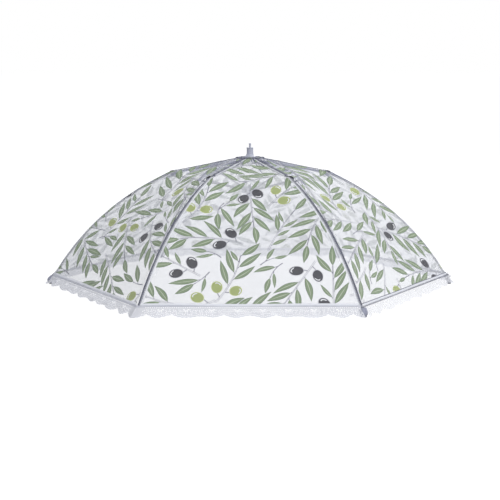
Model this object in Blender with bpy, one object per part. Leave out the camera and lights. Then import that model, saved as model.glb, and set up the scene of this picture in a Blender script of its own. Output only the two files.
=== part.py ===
"""Mesh food cover umbrella: a folding dome of printed net on wire ribs, which stands over food on a table.

Metres, +Z up. The table is z = 0, the dome's axis is Z, and rib 1 points along +X.
Each rib turns on a tie wire in the crown hub. A stretcher ties a clip below the rib to the runner hub.
The stretcher is as long as the line from the rib's eye to its clip pin, and both hubs carry their tie wires
at one radius. The two links therefore fold alike, and the runner moves straight down the axis.
"""

import math

import bmesh
import bpy
from mathutils import Matrix, Vector

# Spread cover
RIB_COUNT = 6
SPREAD_RADIUS = 0.330  # axis to the middle of a rib tip's foot
CROWN_PIVOT_HEIGHT = 0.2034
BEND_RADIUS = 0.127  # axis to the bend that ends a rib's straight inner length
BEND_DROP = 0.0195  # from the rib's eye down to its bend
BOW_RADIUS = 0.413  # arc of a rib's outer length
CLEARANCE = 0.0003  # between pieces that touch

# Ribs and stretchers
RIB_WIRE_RADIUS = 0.0015
STRETCHER_WIRE_RADIUS = 0.0012
EYE_RADIUS = 0.0028
EYE_THICKNESS = 0.0024
EYE_NECK_LENGTH = 0.0045  # from an eye's centre to the wire's full thickness
NECK_RADIUS_SHARE = 0.8  # the wire's radius where it enters its eye
RIB_END_IN_TIP = 0.0095

# Hubs and their tie wires
PIVOT_RADIUS = 0.0105  # axis to a tie wire's centre
TIE_WIRE_RADIUS = 0.0008
PIVOT_CLEARANCE = 0.00035  # between a tie wire or pin and the eye that turns on it
HUB_RADIUS = 0.0145
HUB_PLATE = 0.0016  # the closed end
HUB_WALL_HEIGHT = 0.0045  # tie wire's centre to the open end
HUB_CHAMFER = 0.0006
RUNNER_BORE_RADIUS = 0.0030
RUNNER_COLLAR_RADIUS = 0.0065
RUNNER_COLLAR_HEIGHT = 0.0060

# Rib clips and their pins
CLIP_WALL = 0.0005
CLIP_LENGTH = 0.0070
CLIP_SETBACK = 0.0048  # rib's bend to the clip's middle
CLIP_EAR_MARGIN = 0.0012  # ear below the pin's hole
CLIP_EAR_ROUNDING = 0.0018
EYE_TO_RIB_GAP = 0.0009
PIN_RADIUS = 0.0008
PIN_HEAD_RADIUS = 0.0016
PIN_HEAD_THICKNESS = 0.0006

# Rib tips
TIP_LENGTH = 0.0162
TIP_WALL = 0.0011
TIP_BULB_RADIUS = 0.0039
TIP_BULB_HEIGHT = 0.0030  # foot to the bulb's middle, along the tip
TIP_LIP_LENGTH = 0.0016  # ring round the mouth
TIP_LIP_RISE = 0.0004

# Cap on the crown, and the pin through both
CAP_FOOT_RADIUS = 0.0100
CAP_FOOT_THICKNESS = 0.0010
CAP_RADIUS = 0.0059
CAP_HEIGHT = 0.0155
CAP_FLARE_HEIGHT = 0.0062
CAP_WAIST_RADIUS = 0.0053
CAP_LIP_HEIGHT = 0.0014
CAP_BOSS_RADIUS = 0.0040
CENTRE_PIN_RADIUS = 0.0016
CENTRE_PIN_REACH = 0.0068  # above the cap
CENTRE_PIN_TOP_RADIUS = 0.0021
CENTRE_PIN_TOP_LENGTH = 0.0018
CENTRE_PIN_ROUNDING = 0.0006
RIVET_HEAD_RADIUS = 0.0034
RIVET_HEAD_THICKNESS = 0.0014

# Net and lace
NET_THICKNESS = 0.0004
NET_HOLE_RADIUS = 0.0056  # hole at the top, under the cap
NET_CROWN_MARGIN = 0.0010  # level net past the crown hub's rim
NET_SAG = 0.0040  # how far a panel's middle lies inside the flat surface between its ribs
SEAM_GAP = 0.0004  # between neighbouring panels, over a rib
LACE_THICKNESS = 0.0005
LACE_TABLE_GAP = 0.0012  # between the table and the lace's points
SCALLOP_DEPTH = 0.0042
SCALLOP_COUNT = 9
LACE_END_MARGIN = 0.0008  # between a lace's end and the rib tip beside it

# Facets
WIRE_SIDES = 8
TIE_WIRE_SIDES = 6
RING_SIDES = 36
TURNED_SIDES = 24
PIN_SIDES = 12
EYE_SIDES = 14
HOLE_SIDES = 10
BOW_STEPS = 9
INNER_NET_STEPS = 3
NET_COLUMNS = 8
SCALLOP_STEPS = 4
FLARE_STEPS = 4
BULB_STEPS = 6
ARCH_STEPS = 6
BEVEL_SEGMENTS = 3
SMOOTH_ANGLE = math.radians(35)
CUT_OVERRUN = 0.002

# Rib's path in its own upright plane, as (distance from the axis, height)
RIB_EYE = Vector((PIVOT_RADIUS, CROWN_PIVOT_HEIGHT))
BEND = Vector((BEND_RADIUS, CROWN_PIVOT_HEIGHT - BEND_DROP))
FOOT = Vector((SPREAD_RADIUS, 0))
INNER_RUN = BEND - RIB_EYE
INNER_DIP = math.atan2(-INNER_RUN.y, INNER_RUN.x)
BOW_CHORD = FOOT - BEND
BOW_CHORD_DIP = math.atan2(-BOW_CHORD.y, BOW_CHORD.x)
BOW_HALF_SWEEP = math.asin(BOW_CHORD.length / (2 * BOW_RADIUS))
BOW_START_DIP = BOW_CHORD_DIP - BOW_HALF_SWEEP
BOW_END_DIP = BOW_CHORD_DIP + BOW_HALF_SWEEP


def heading(dip):
    """Unit direction away from the axis that falls by dip below the level."""
    return Vector((math.cos(dip), -math.sin(dip)))


def upward(dip):
    """Unit direction square to heading(dip), on its upper side."""
    return Vector((math.sin(dip), math.cos(dip)))


BOW_CENTRE = BEND - BOW_RADIUS * upward(BOW_START_DIP)

# Linkage: rib eye, clip pin and runner tie wire
SLEEVE_RADIUS = RIB_WIRE_RADIUS + CLEARANCE  # inside of what wraps a rib's wire
CLIP_MIDDLE = BEND - CLIP_SETBACK * heading(INNER_DIP)
CLIP_DROP = RIB_WIRE_RADIUS + EYE_TO_RIB_GAP + EYE_RADIUS
CLIP_PIN = CLIP_MIDDLE - CLIP_DROP * upward(INNER_DIP)
LINK = CLIP_PIN - RIB_EYE
RUNNER_EYE = Vector((PIVOT_RADIUS, RIB_EYE.y + 2 * LINK.y))

# Heights at the crown
HUB_FLOOR = EYE_RADIUS + CLEARANCE  # tie wire's centre to the inner face of a hub's plate
CROWN_TOP = CROWN_PIVOT_HEIGHT + HUB_FLOOR + HUB_PLATE
CROWN_BOTTOM = CROWN_PIVOT_HEIGHT - HUB_WALL_HEIGHT
NET_UNDERSIDE = CROWN_TOP + CLEARANCE
CAP_BOTTOM = NET_UNDERSIDE + NET_THICKNESS + CLEARANCE
CAP_TOP = CAP_BOTTOM + CAP_HEIGHT

# Net over the ribs: it rests on the clips, and ends at the collars of the rib tips
NET_LIFT = SLEEVE_RADIUS + CLIP_WALL + CLEARANCE  # rib wire's centre to the net's underside
TIP_RADIUS = SLEEVE_RADIUS + TIP_WALL
HEM_DIP = BOW_END_DIP - (TIP_LENGTH + 2 * CLEARANCE) / BOW_RADIUS
TIP_DIP = BOW_END_DIP - (TIP_LENGTH - RIB_END_IN_TIP / 2) / (2 * BOW_RADIUS)
RIB_STOP_DIP = BOW_END_DIP - (TIP_LENGTH - RIB_END_IN_TIP) / BOW_RADIUS
BOW_DIPS = [BOW_START_DIP + (HEM_DIP - BOW_START_DIP) * i / BOW_STEPS for i in range(BOW_STEPS + 1)]
HALF_GORE = math.pi / RIB_COUNT


def bow_point(dip, lift):
    """Point over a rib's outer arc where the arc falls by dip, at a height of lift over the wire's centre."""
    return BOW_CENTRE + (BOW_RADIUS + lift) * upward(dip)


def material(name, colour, roughness, metallic, alpha=1.0):
    made = bpy.data.materials.new(name)
    made.use_nodes = True
    made.diffuse_color = (*colour, alpha)
    shader = made.node_tree.nodes["Principled BSDF"]
    shader.inputs["Base Color"].default_value = (*colour, 1.0)
    shader.inputs["Roughness"].default_value = roughness
    shader.inputs["Metallic"].default_value = metallic
    shader.inputs["Alpha"].default_value = alpha
    return made


def finished_mesh(bm, name, closed=True):
    """Mesh made from a bmesh, with the faces of a closed one pointing out."""
    if closed:
        bmesh.ops.recalc_face_normals(bm, faces=bm.faces)
    mesh = bpy.data.meshes.new(name)
    bm.to_mesh(mesh)
    bm.free()
    return mesh


def placed(name, mesh, finish, parent, location=(0, 0, 0)):
    """Named object on its parent, shaded smooth up to the sharp edges."""
    mesh.shade_smooth()
    mesh.set_sharp_from_angle(angle=SMOOTH_ANGLE)
    made = bpy.data.objects.new(name, mesh)
    bpy.context.scene.collection.objects.link(made)
    if not mesh.materials:
        mesh.materials.append(finish)
    made.parent = parent
    made.location = location
    return made


def pivot(name, location, turn=0.0, parent=None):
    """Empty on a joint's axis. Its Y axis is the hinge."""
    made = bpy.data.objects.new(name, None)
    bpy.context.scene.collection.objects.link(made)
    made.parent = parent
    made.location = location
    made.rotation_euler = (0, 0, turn)
    return made


def shaped(base, joined=(), cut=()):
    """base with the joined meshes added to it, and then the cut meshes taken out."""
    work = bpy.data.objects.new(base.name, base)
    bpy.context.scene.collection.objects.link(work)
    tools = []
    steps = [("UNION", mesh) for mesh in joined] + [("DIFFERENCE", mesh) for mesh in cut]
    for operation, mesh in steps:
        tool = bpy.data.objects.new(mesh.name, mesh)
        bpy.context.scene.collection.objects.link(tool)
        tools.append(tool)
        modifier = work.modifiers.new(operation, "BOOLEAN")
        modifier.operation = operation
        modifier.object = tool
    bpy.context.view_layer.update()
    evaluated = work.evaluated_get(bpy.context.evaluated_depsgraph_get())
    result = bpy.data.meshes.new_from_object(evaluated)
    result.name = base.name
    for used in [work, *tools]:
        bpy.data.objects.remove(used)
    return result


def ring_faces(bm, first, second):
    """Quads between two rings of vertices of the same count."""
    count = len(first)
    for i in range(count):
        j = (i + 1) % count
        bm.faces.new((first[i], first[j], second[j], second[i]))


def turned(name, outline, sides, bored=False):
    """Solid turned about Z from (radius, height) points. A bored one's outline closes on itself."""
    bm = bmesh.new()
    rings = []
    for radius, height in outline:
        if radius == 0:
            rings.append([bm.verts.new((0, 0, height))])
            continue
        angles = [2 * math.pi * i / sides for i in range(sides)]
        rings.append([bm.verts.new((radius * math.cos(a), radius * math.sin(a), height)) for a in angles])
    pairs = list(zip(rings, rings[1:]))
    if bored:
        pairs.append((rings[-1], rings[0]))
    for first, second in pairs:
        if len(first) == len(second):
            ring_faces(bm, first, second)
            continue
        pole, ring = (first, second) if len(first) == 1 else (second, first)
        for i in range(sides):
            bm.faces.new((pole[0], ring[i], ring[(i + 1) % sides]))
    return finished_mesh(bm, name)


def tube(name, path, radii, sides):
    """Round bar along points of an upright plane, with a radius at each point."""
    bm = bmesh.new()
    rings = []
    for i, (point, radius) in enumerate(zip(path, radii)):
        before, after = path[max(i - 1, 0)], path[min(i + 1, len(path) - 1)]
        along = (after - before).normalized()
        across = Vector((-along.y, along.x))
        ring = []
        for k in range(sides):
            angle = 2 * math.pi * (k + 0.5) / sides
            spot = point + radius * math.cos(angle) * across
            ring.append(bm.verts.new((spot.x, radius * math.sin(angle), spot.y)))
        rings.append(ring)
    for first, second in zip(rings, rings[1:]):
        ring_faces(bm, first, second)
    bm.faces.new(rings[0])
    bm.faces.new(reversed(rings[-1]))
    return finished_mesh(bm, name)


def crosswise_disc(name, centre, radius, width, sides):
    """Disc or drill whose axis runs along Y through a point of the upright plane."""
    bm = bmesh.new()
    place = Matrix.Translation((centre.x, 0, centre.y)) @ Matrix.Rotation(math.pi / 2, 4, "X")
    bmesh.ops.create_cone(
        bm, cap_ends=True, segments=sides, radius1=radius, radius2=radius, depth=width, matrix=place
    )
    return finished_mesh(bm, name)


def box(name, low, high, turn=0.0):
    """Block between two corners, turned about Z."""
    bm = bmesh.new()
    low, high = Vector(low), Vector(high)
    size = high - low
    place = Matrix.Rotation(turn, 4, "Z") @ Matrix.Translation((low + high) / 2)
    bmesh.ops.create_cube(bm, size=1, matrix=place @ Matrix.Diagonal((*size, 1)))
    return finished_mesh(bm, name)


def with_eyes(name, wire, centres):
    """Wire with a flattened, drilled eye at each centre."""
    discs = [crosswise_disc("eye", c, EYE_RADIUS, EYE_THICKNESS, EYE_SIDES) for c in centres]
    drill = TIE_WIRE_RADIUS + PIVOT_CLEARANCE
    width = EYE_THICKNESS + 2 * CUT_OVERRUN
    drills = [crosswise_disc("drill", c, drill, width, HOLE_SIDES) for c in centres]
    wire.name = name
    return shaped(wire, joined=discs, cut=drills)


def neck(centre, direction, wire_radius):
    """First points and radii of a wire that leaves an eye."""
    starts = [EYE_RADIUS / math.sqrt(2), EYE_NECK_LENGTH]
    return [centre + s * direction for s in starts], [NECK_RADIUS_SHARE * wire_radius, wire_radius]


def hub_mesh(name, bore_radius, collar_radius=0, collar_height=0):
    """Slotted hub about its own tie wire's plane, with its plate below and its slots open upwards."""
    floor = -HUB_FLOOR
    bottom = floor - HUB_PLATE
    outline = [(bore_radius, bottom - collar_height)]
    if collar_height:
        outline += [(collar_radius - HUB_CHAMFER, bottom - collar_height)]
        outline += [(collar_radius, bottom - collar_height + HUB_CHAMFER), (collar_radius, bottom)]
    outline += [(HUB_RADIUS - HUB_CHAMFER, bottom), (HUB_RADIUS, bottom + HUB_CHAMFER)]
    outline += [(HUB_RADIUS, HUB_WALL_HEIGHT - HUB_CHAMFER), (HUB_RADIUS - HUB_CHAMFER, HUB_WALL_HEIGHT)]
    outline += [(bore_radius, HUB_WALL_HEIGHT)]
    body = turned(name, outline, RING_SIDES, bored=True)
    room = TIE_WIRE_RADIUS + CLEARANCE
    over = HUB_WALL_HEIGHT + CUT_OVERRUN
    groove_outline = [
        (PIVOT_RADIUS - room, -room),
        (PIVOT_RADIUS + room, -room),
        (PIVOT_RADIUS + room, over),
        (PIVOT_RADIUS - room, over),
    ]
    groove = turned("groove", groove_outline, RING_SIDES, bored=True)
    half_slot = RIB_WIRE_RADIUS + CLEARANCE
    slot_start = PIVOT_RADIUS - EYE_RADIUS - CLEARANCE
    slots = [
        box(
            "slot",
            (slot_start, -half_slot, floor),
            (HUB_RADIUS + CUT_OVERRUN, half_slot, over),
            turn=2 * math.pi * i / RIB_COUNT,
        )
        for i in range(RIB_COUNT)
    ]
    return shaped(body, cut=[groove, *slots])


def flipped(mesh):
    """The mesh turned upside down about X."""
    mesh.transform(Matrix.Rotation(math.pi, 4, "X"))
    return mesh


def tie_wire_mesh(name):
    """Closed ring of wire that the eyes of one hub turn on."""
    angles = [2 * math.pi * i / TIE_WIRE_SIDES for i in range(TIE_WIRE_SIDES)]
    outline = [
        (PIVOT_RADIUS + TIE_WIRE_RADIUS * math.cos(a), TIE_WIRE_RADIUS * math.sin(a)) for a in angles
    ]
    return turned(name, outline, RING_SIDES, bored=True)


def rib_mesh():
    """Rib wire from its eye to its end inside the tip, about the eye's centre."""
    path, radii = neck(RIB_EYE, heading(INNER_DIP), RIB_WIRE_RADIUS)
    for dip in [*BOW_DIPS, RIB_STOP_DIP]:
        path.append(bow_point(dip, 0))
        radii.append(RIB_WIRE_RADIUS)
    path = [point - RIB_EYE for point in path]
    wire = tube("rib", path, radii, WIRE_SIDES)
    return with_eyes("rib", wire, [Vector((0, 0))])


def stretcher_mesh():
    """Stretcher wire from the clip pin to the runner's tie wire, about the clip pin."""
    far = RUNNER_EYE - CLIP_PIN
    along = far.normalized()
    path, radii = neck(Vector((0, 0)), along, STRETCHER_WIRE_RADIUS)
    end_path, end_radii = neck(far, -along, STRETCHER_WIRE_RADIUS)
    wire = tube("stretcher", path + end_path[::-1], radii + end_radii[::-1], WIRE_SIDES)
    return with_eyes("stretcher", wire, [Vector((0, 0)), far])


def clip_mesh():
    """Sheet clip bent over the rib's wire, with an ear on each side of the stretcher's eye."""
    inside, outside = SLEEVE_RADIUS, SLEEVE_RADIUS + CLIP_WALL
    ear_end = -(CLIP_DROP + PIN_RADIUS + CLEARANCE + CLIP_EAR_MARGIN)
    arch = [math.pi * i / ARCH_STEPS for i in range(ARCH_STEPS + 1)]
    outline = [(outside, ear_end)]
    outline += [(outside * math.cos(a), outside * math.sin(a)) for a in arch]
    outline += [(-outside, ear_end), (-inside, ear_end)]
    outline += [(-inside * math.cos(a), inside * math.sin(a)) for a in arch]
    outline += [(inside, ear_end)]
    bm = bmesh.new()
    section = bm.faces.new([bm.verts.new((-CLIP_LENGTH / 2, y, z)) for y, z in outline])
    grown = bmesh.ops.extrude_face_region(bm, geom=[section])
    moved = [v for v in grown["geom"] if isinstance(v, bmesh.types.BMVert)]
    bmesh.ops.translate(bm, verts=moved, vec=(CLIP_LENGTH, 0, 0))
    corners = [e for e in bm.edges if all(v.co.z < -CLIP_DROP for v in e.verts) and is_crosswise(e)]
    bmesh.ops.bevel(
        bm, geom=corners, offset=CLIP_EAR_ROUNDING, segments=BEVEL_SEGMENTS, profile=0.5, affect="EDGES"
    )
    plate = finished_mesh(bm, "rib_clip")
    width = 2 * (outside + CUT_OVERRUN)
    hole = crosswise_disc("hole", Vector((0, -CLIP_DROP)), PIN_RADIUS + CLEARANCE, width, HOLE_SIDES)
    clip = shaped(plate, cut=[hole])
    middle = CLIP_MIDDLE - RIB_EYE
    place = Matrix.Translation((middle.x, 0, middle.y)) @ Matrix.Rotation(INNER_DIP, 4, "Y")
    clip.transform(place)
    return clip


def is_crosswise(edge):
    """Whether an edge runs along Y."""
    run = edge.verts[1].co - edge.verts[0].co
    return abs(run.y) > abs(run.x) and abs(run.y) > abs(run.z)


def clip_pin_mesh():
    """Rivet through the clip's ears, along Y."""
    reach = SLEEVE_RADIUS + CLIP_WALL + CLEARANCE
    end = reach + PIN_HEAD_THICKNESS
    outline = [(0, -end), (PIN_HEAD_RADIUS, -end), (PIN_HEAD_RADIUS, -reach), (PIN_RADIUS, -reach)]
    outline += [(radius, -height) for radius, height in reversed(outline)]
    pin = turned("clip_pin", outline, PIN_SIDES)
    pin.transform(Matrix.Rotation(math.pi / 2, 4, "X"))
    return pin


def tip_mesh():
    """Moulded tip over the rib's end, its bulb cut flat where it stands on the table, about the rib's eye."""
    hollow = TIP_LENGTH - RIB_END_IN_TIP - 2 * CLEARANCE
    lip = TIP_LENGTH - TIP_LIP_LENGTH
    lowest, highest = -math.pi / 2, math.acos(TIP_RADIUS / TIP_BULB_RADIUS)
    outline = [(0, TIP_BULB_HEIGHT - TIP_BULB_RADIUS)]
    for i in range(1, BULB_STEPS + 1):
        angle = lowest + (highest - lowest) * i / BULB_STEPS
        radius = TIP_BULB_RADIUS * math.cos(angle)
        outline.append((radius, TIP_BULB_HEIGHT + TIP_BULB_RADIUS * math.sin(angle)))
    outline += [(TIP_RADIUS, lip - TIP_LIP_RISE), (TIP_RADIUS + TIP_LIP_RISE, lip)]
    outline += [(TIP_RADIUS + TIP_LIP_RISE, TIP_LENGTH - TIP_LIP_RISE), (TIP_RADIUS, TIP_LENGTH)]
    outline += [(SLEEVE_RADIUS, TIP_LENGTH), (SLEEVE_RADIUS, hollow), (0, hollow)]
    tip = turned("rib_tip", outline, PIN_SIDES)
    lean = math.pi / 2 - TIP_DIP
    tip.transform(Matrix.Rotation(-lean, 4, "Y"))
    bm = bmesh.new()
    bm.from_mesh(tip)
    everything = [*bm.verts, *bm.edges, *bm.faces]
    cut = bmesh.ops.bisect_plane(bm, geom=everything, plane_co=(0, 0, 0), plane_no=(0, 0, -1), clear_outer=True)
    edges = [g for g in cut["geom_cut"] if isinstance(g, bmesh.types.BMEdge)]
    bmesh.ops.edgenet_fill(bm, edges=edges)
    tip = finished_mesh(bm, "rib_tip")
    foot = FOOT - RIB_EYE
    tip.transform(Matrix.Translation((foot.x, 0, foot.y)))
    return tip


def cap_mesh():
    """Cap on the net: flared foot, waisted barrel and a lip, with a boss through the net's hole."""
    waist_start = CAP_FOOT_THICKNESS + CAP_FLARE_HEIGHT
    flare = []
    for i in range(1, FLARE_STEPS + 1):
        angle = math.pi / 2 * i / FLARE_STEPS
        radius = CAP_FOOT_RADIUS + (CAP_WAIST_RADIUS - CAP_FOOT_RADIUS) * math.sin(angle)
        flare.append((radius, CAP_FOOT_THICKNESS + CAP_FLARE_HEIGHT * (1 - math.cos(angle))))
    lip = CAP_HEIGHT - CAP_LIP_HEIGHT
    lip_rise = CAP_RADIUS - CAP_WAIST_RADIUS
    bore = CENTRE_PIN_RADIUS + CLEARANCE
    boss_bottom = CROWN_TOP + CLEARANCE - CAP_BOTTOM
    outline = [(bore, boss_bottom), (CAP_BOSS_RADIUS, boss_bottom), (CAP_BOSS_RADIUS, 0), (CAP_FOOT_RADIUS, 0)]
    outline += [(CAP_FOOT_RADIUS, CAP_FOOT_THICKNESS)] + flare
    outline += [(CAP_WAIST_RADIUS, (waist_start + lip) / 2), (CAP_WAIST_RADIUS, lip)]
    outline += [(CAP_RADIUS, lip + lip_rise), (CAP_RADIUS, CAP_HEIGHT - lip_rise)]
    outline += [(CAP_RADIUS - lip_rise, CAP_HEIGHT), (bore, CAP_HEIGHT)]
    return turned("top_cap", outline, TURNED_SIDES, bored=True)


def centre_pin_mesh():
    """Pin through the cap and the crown: a stub above the cap, a riveted head below the crown."""
    head_top = CROWN_BOTTOM - CLEARANCE
    head_bottom = head_top - RIVET_HEAD_THICKNESS
    top = CAP_TOP + CENTRE_PIN_REACH
    knob = top - CENTRE_PIN_TOP_LENGTH
    slope = CENTRE_PIN_TOP_RADIUS - CENTRE_PIN_RADIUS
    outline = [
        (0, head_bottom),
        (RIVET_HEAD_RADIUS - CENTRE_PIN_ROUNDING, head_bottom),
        (RIVET_HEAD_RADIUS, head_bottom + CENTRE_PIN_ROUNDING),
        (RIVET_HEAD_RADIUS, head_top),
        (CENTRE_PIN_RADIUS, head_top),
        (CENTRE_PIN_RADIUS, CAP_TOP),
        (CENTRE_PIN_RADIUS, knob),
        (CENTRE_PIN_TOP_RADIUS, knob + slope),
        (CENTRE_PIN_TOP_RADIUS, top - CENTRE_PIN_ROUNDING),
        (CENTRE_PIN_TOP_RADIUS - CENTRE_PIN_ROUNDING, top),
        (0, top),
    ]
    return turned("centre_pin", outline, PIN_SIDES)


def net_profile():
    """Net's underside over a rib, as (distance from the axis, height) points from the hole to the hem."""
    level_end = Vector((HUB_RADIUS + NET_CROWN_MARGIN, NET_UNDERSIDE))
    over_bend = bow_point(BOW_START_DIP, NET_LIFT)
    points = [Vector((NET_HOLE_RADIUS, NET_UNDERSIDE))]
    points += [level_end.lerp(over_bend, i / INNER_NET_STEPS) for i in range(INNER_NET_STEPS)]
    points += [bow_point(dip, NET_LIFT) for dip in BOW_DIPS]
    return points


def span(point, share, gap):
    """Point of a panel between its two ribs: share 0 is at the first rib, and 1 at the next one."""
    first = Vector((point.x, gap, point.y))
    last = Matrix.Rotation(2 * HALF_GORE, 4, "Z") @ Vector((point.x, -gap, point.y))
    return first.lerp(last, share)


def panel_normals(profile):
    """Outward normal of the panel's middle at each point of its profile."""
    normals = []
    for i in range(len(profile)):
        before, after = profile[max(i - 1, 0)], profile[min(i + 1, len(profile) - 1)]
        run = (after.x - before.x) * math.cos(HALF_GORE)
        fall = after.y - before.y
        flat = Vector((-fall, run)).normalized()
        normals.append(Matrix.Rotation(HALF_GORE, 4, "Z") @ Vector((flat.x, 0, flat.y)))
    return normals


def net_panel_mesh():
    """Underside of one panel between two ribs, about the first rib's eye. Solidify gives it its thickness."""
    profile = net_profile()
    normals = panel_normals(profile)
    lengths = [0.0]
    for before, after in zip(profile, profile[1:]):
        lengths.append(lengths[-1] + (after - before).length)
    level = lengths[1]
    bm = bmesh.new()
    rows = []
    for point, normal, length in zip(profile, normals, lengths):
        slope_share = max(0.0, (length - level) / (lengths[-1] - level))
        row = []
        for column in range(NET_COLUMNS + 1):
            share = column / NET_COLUMNS
            sag = NET_SAG * math.sin(math.pi * slope_share) ** 2 * math.sin(math.pi * share)
            spot = span(point, share, SEAM_GAP / 2) - sag * normal
            row.append(bm.verts.new(spot - Vector((RIB_EYE.x, 0, RIB_EYE.y))))
        rows.append(row)
    for upper, lower in zip(rows, rows[1:]):
        for a, b, c, d in zip(upper, upper[1:], lower[1:], lower):
            bm.faces.new((a, d, c, b))
    return finished_mesh(bm, "canopy_panel", closed=False)


def lace_mesh():
    """Scalloped lace below one panel's hem, in the plane of the panel's end, about the first rib's eye."""
    hem = net_profile()[-1]
    face_dip = math.atan2(math.sin(HEM_DIP), math.cos(HEM_DIP) * math.cos(HALF_GORE))
    fall = heading(face_dip)
    down = Matrix.Rotation(HALF_GORE, 4, "Z") @ Vector((fall.x, 0, fall.y))
    depth = (hem.y - LACE_TABLE_GAP) / math.sin(face_dip)
    hem_length = 2 * hem.x * math.sin(HALF_GORE)
    end_share = (TIP_BULB_RADIUS + LACE_END_MARGIN) / math.cos(HALF_GORE) / hem_length
    columns = SCALLOP_COUNT * SCALLOP_STEPS
    bm = bmesh.new()
    top, bottom = [], []
    for column in range(columns + 1):
        bulge = abs(math.sin(math.pi * column / SCALLOP_STEPS))
        share = end_share + (1 - 2 * end_share) * column / columns
        edge = span(hem, share, SEAM_GAP / 2) - Vector((RIB_EYE.x, 0, RIB_EYE.y))
        top.append(bm.verts.new(edge + CLEARANCE * down))
        bottom.append(bm.verts.new(edge + (depth - SCALLOP_DEPTH * (1 - bulge)) * down))
    for a, b, c, d in zip(top, top[1:], bottom[1:], bottom):
        bm.faces.new((a, d, c, b))
    return finished_mesh(bm, "lace", closed=False)


def thickened(made, thickness):
    """Gives a sheet its thickness, outwards from the side that was modelled."""
    modifier = made.modifiers.new("thickness", "SOLIDIFY")
    modifier.thickness = thickness
    modifier.offset = 1
    modifier.use_even_offset = True


def build_crown(finishes):
    centre = pivot("crown_centre", (0, 0, CROWN_PIVOT_HEIGHT))
    bore = CENTRE_PIN_RADIUS + CLEARANCE
    placed("crown_hub", flipped(hub_mesh("crown_hub", bore)), finishes["hub"], centre)
    placed("crown_ring", tie_wire_mesh("crown_ring"), finishes["wire"], centre)
    placed("top_cap", cap_mesh(), finishes["cap"], None, (0, 0, CAP_BOTTOM))
    placed("centre_pin", centre_pin_mesh(), finishes["pin"], None)


def build_rib(number, meshes, finishes):
    """Rib with all that swings with it, and its stretcher. Returns the stretcher's pivot."""
    turn = 2 * math.pi * (number - 1) / RIB_COUNT
    where = (RIB_EYE.x * math.cos(turn), RIB_EYE.x * math.sin(turn), RIB_EYE.y)
    hinge = pivot(f"rib_pivot_{number}", where, turn)
    pin_place = (LINK.x, 0, LINK.y)
    placed(f"rib_{number}", meshes["rib"], finishes["rib"], hinge)
    placed(f"rib_clip_{number}", meshes["clip"], finishes["clip"], hinge)
    placed(f"clip_pin_{number}", meshes["pin"], finishes["wire"], hinge, pin_place)
    placed(f"rib_tip_{number}", meshes["tip"], finishes["tip"], hinge)
    net = placed(f"canopy_panel_{number}", meshes["net"], finishes["net"], hinge)
    thickened(net, NET_THICKNESS)
    lace = placed(f"lace_{number}", meshes["lace"], finishes["lace"], hinge)
    thickened(lace, LACE_THICKNESS)
    joint = pivot(f"stretcher_pivot_{number}", pin_place, parent=hinge)
    placed(f"stretcher_{number}", meshes["stretcher"], finishes["stretcher"], joint)
    return joint


def build_runner(stretcher_joint, finishes):
    far = RUNNER_EYE - CLIP_PIN
    hinge = pivot("runner_pivot", (far.x, 0, far.y), parent=stretcher_joint)
    centre = (-PIVOT_RADIUS, 0, 0)
    hub = hub_mesh("runner_hub", RUNNER_BORE_RADIUS, RUNNER_COLLAR_RADIUS, RUNNER_COLLAR_HEIGHT)
    placed("runner_hub", hub, finishes["hub"], hinge, centre)
    placed("runner_ring", tie_wire_mesh("runner_ring"), finishes["wire"], hinge, centre)


def main():
    for old in list(bpy.data.objects):
        bpy.data.objects.remove(old)
    finishes = {
        "hub": material("hub_plastic", (0.78, 0.79, 0.82), 0.45, 0.0),
        "cap": material("cap_plastic", (0.50, 0.52, 0.60), 0.40, 0.0),
        "pin": material("centre_pin_steel", (0.55, 0.56, 0.60), 0.35, 1.0),
        "wire": material("tie_wire_steel", (0.60, 0.61, 0.64), 0.30, 1.0),
        "rib": material("rib_steel", (0.30, 0.31, 0.35), 0.40, 1.0),
        "stretcher": material("stretcher_steel", (0.45, 0.46, 0.50), 0.35, 1.0),
        "clip": material("clip_steel", (0.06, 0.06, 0.07), 0.50, 0.8),
        "tip": material("tip_plastic", (0.32, 0.34, 0.40), 0.50, 0.0),
        "net": material("printed_net", (0.86, 0.88, 0.92), 0.85, 0.0, alpha=0.6),
        "lace": material("lace", (0.75, 0.76, 0.84), 0.85, 0.0, alpha=0.7),
    }
    meshes = {
        "rib": rib_mesh(),
        "clip": clip_mesh(),
        "pin": clip_pin_mesh(),
        "tip": tip_mesh(),
        "net": net_panel_mesh(),
        "lace": lace_mesh(),
        "stretcher": stretcher_mesh(),
    }
    build_crown(finishes)
    joints = [build_rib(i + 1, meshes, finishes) for i in range(RIB_COUNT)]
    build_runner(joints[0], finishes)


main()
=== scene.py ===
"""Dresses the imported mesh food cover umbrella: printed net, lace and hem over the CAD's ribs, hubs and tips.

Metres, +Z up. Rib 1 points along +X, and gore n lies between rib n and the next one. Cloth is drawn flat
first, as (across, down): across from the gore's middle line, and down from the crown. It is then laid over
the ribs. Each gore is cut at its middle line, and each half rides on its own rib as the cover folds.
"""

import math
import random
from functools import partial

import bpy
import numpy as np
from mathutils import Matrix, Vector
from mathutils.geometry import delaunay_2d_cdt


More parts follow.
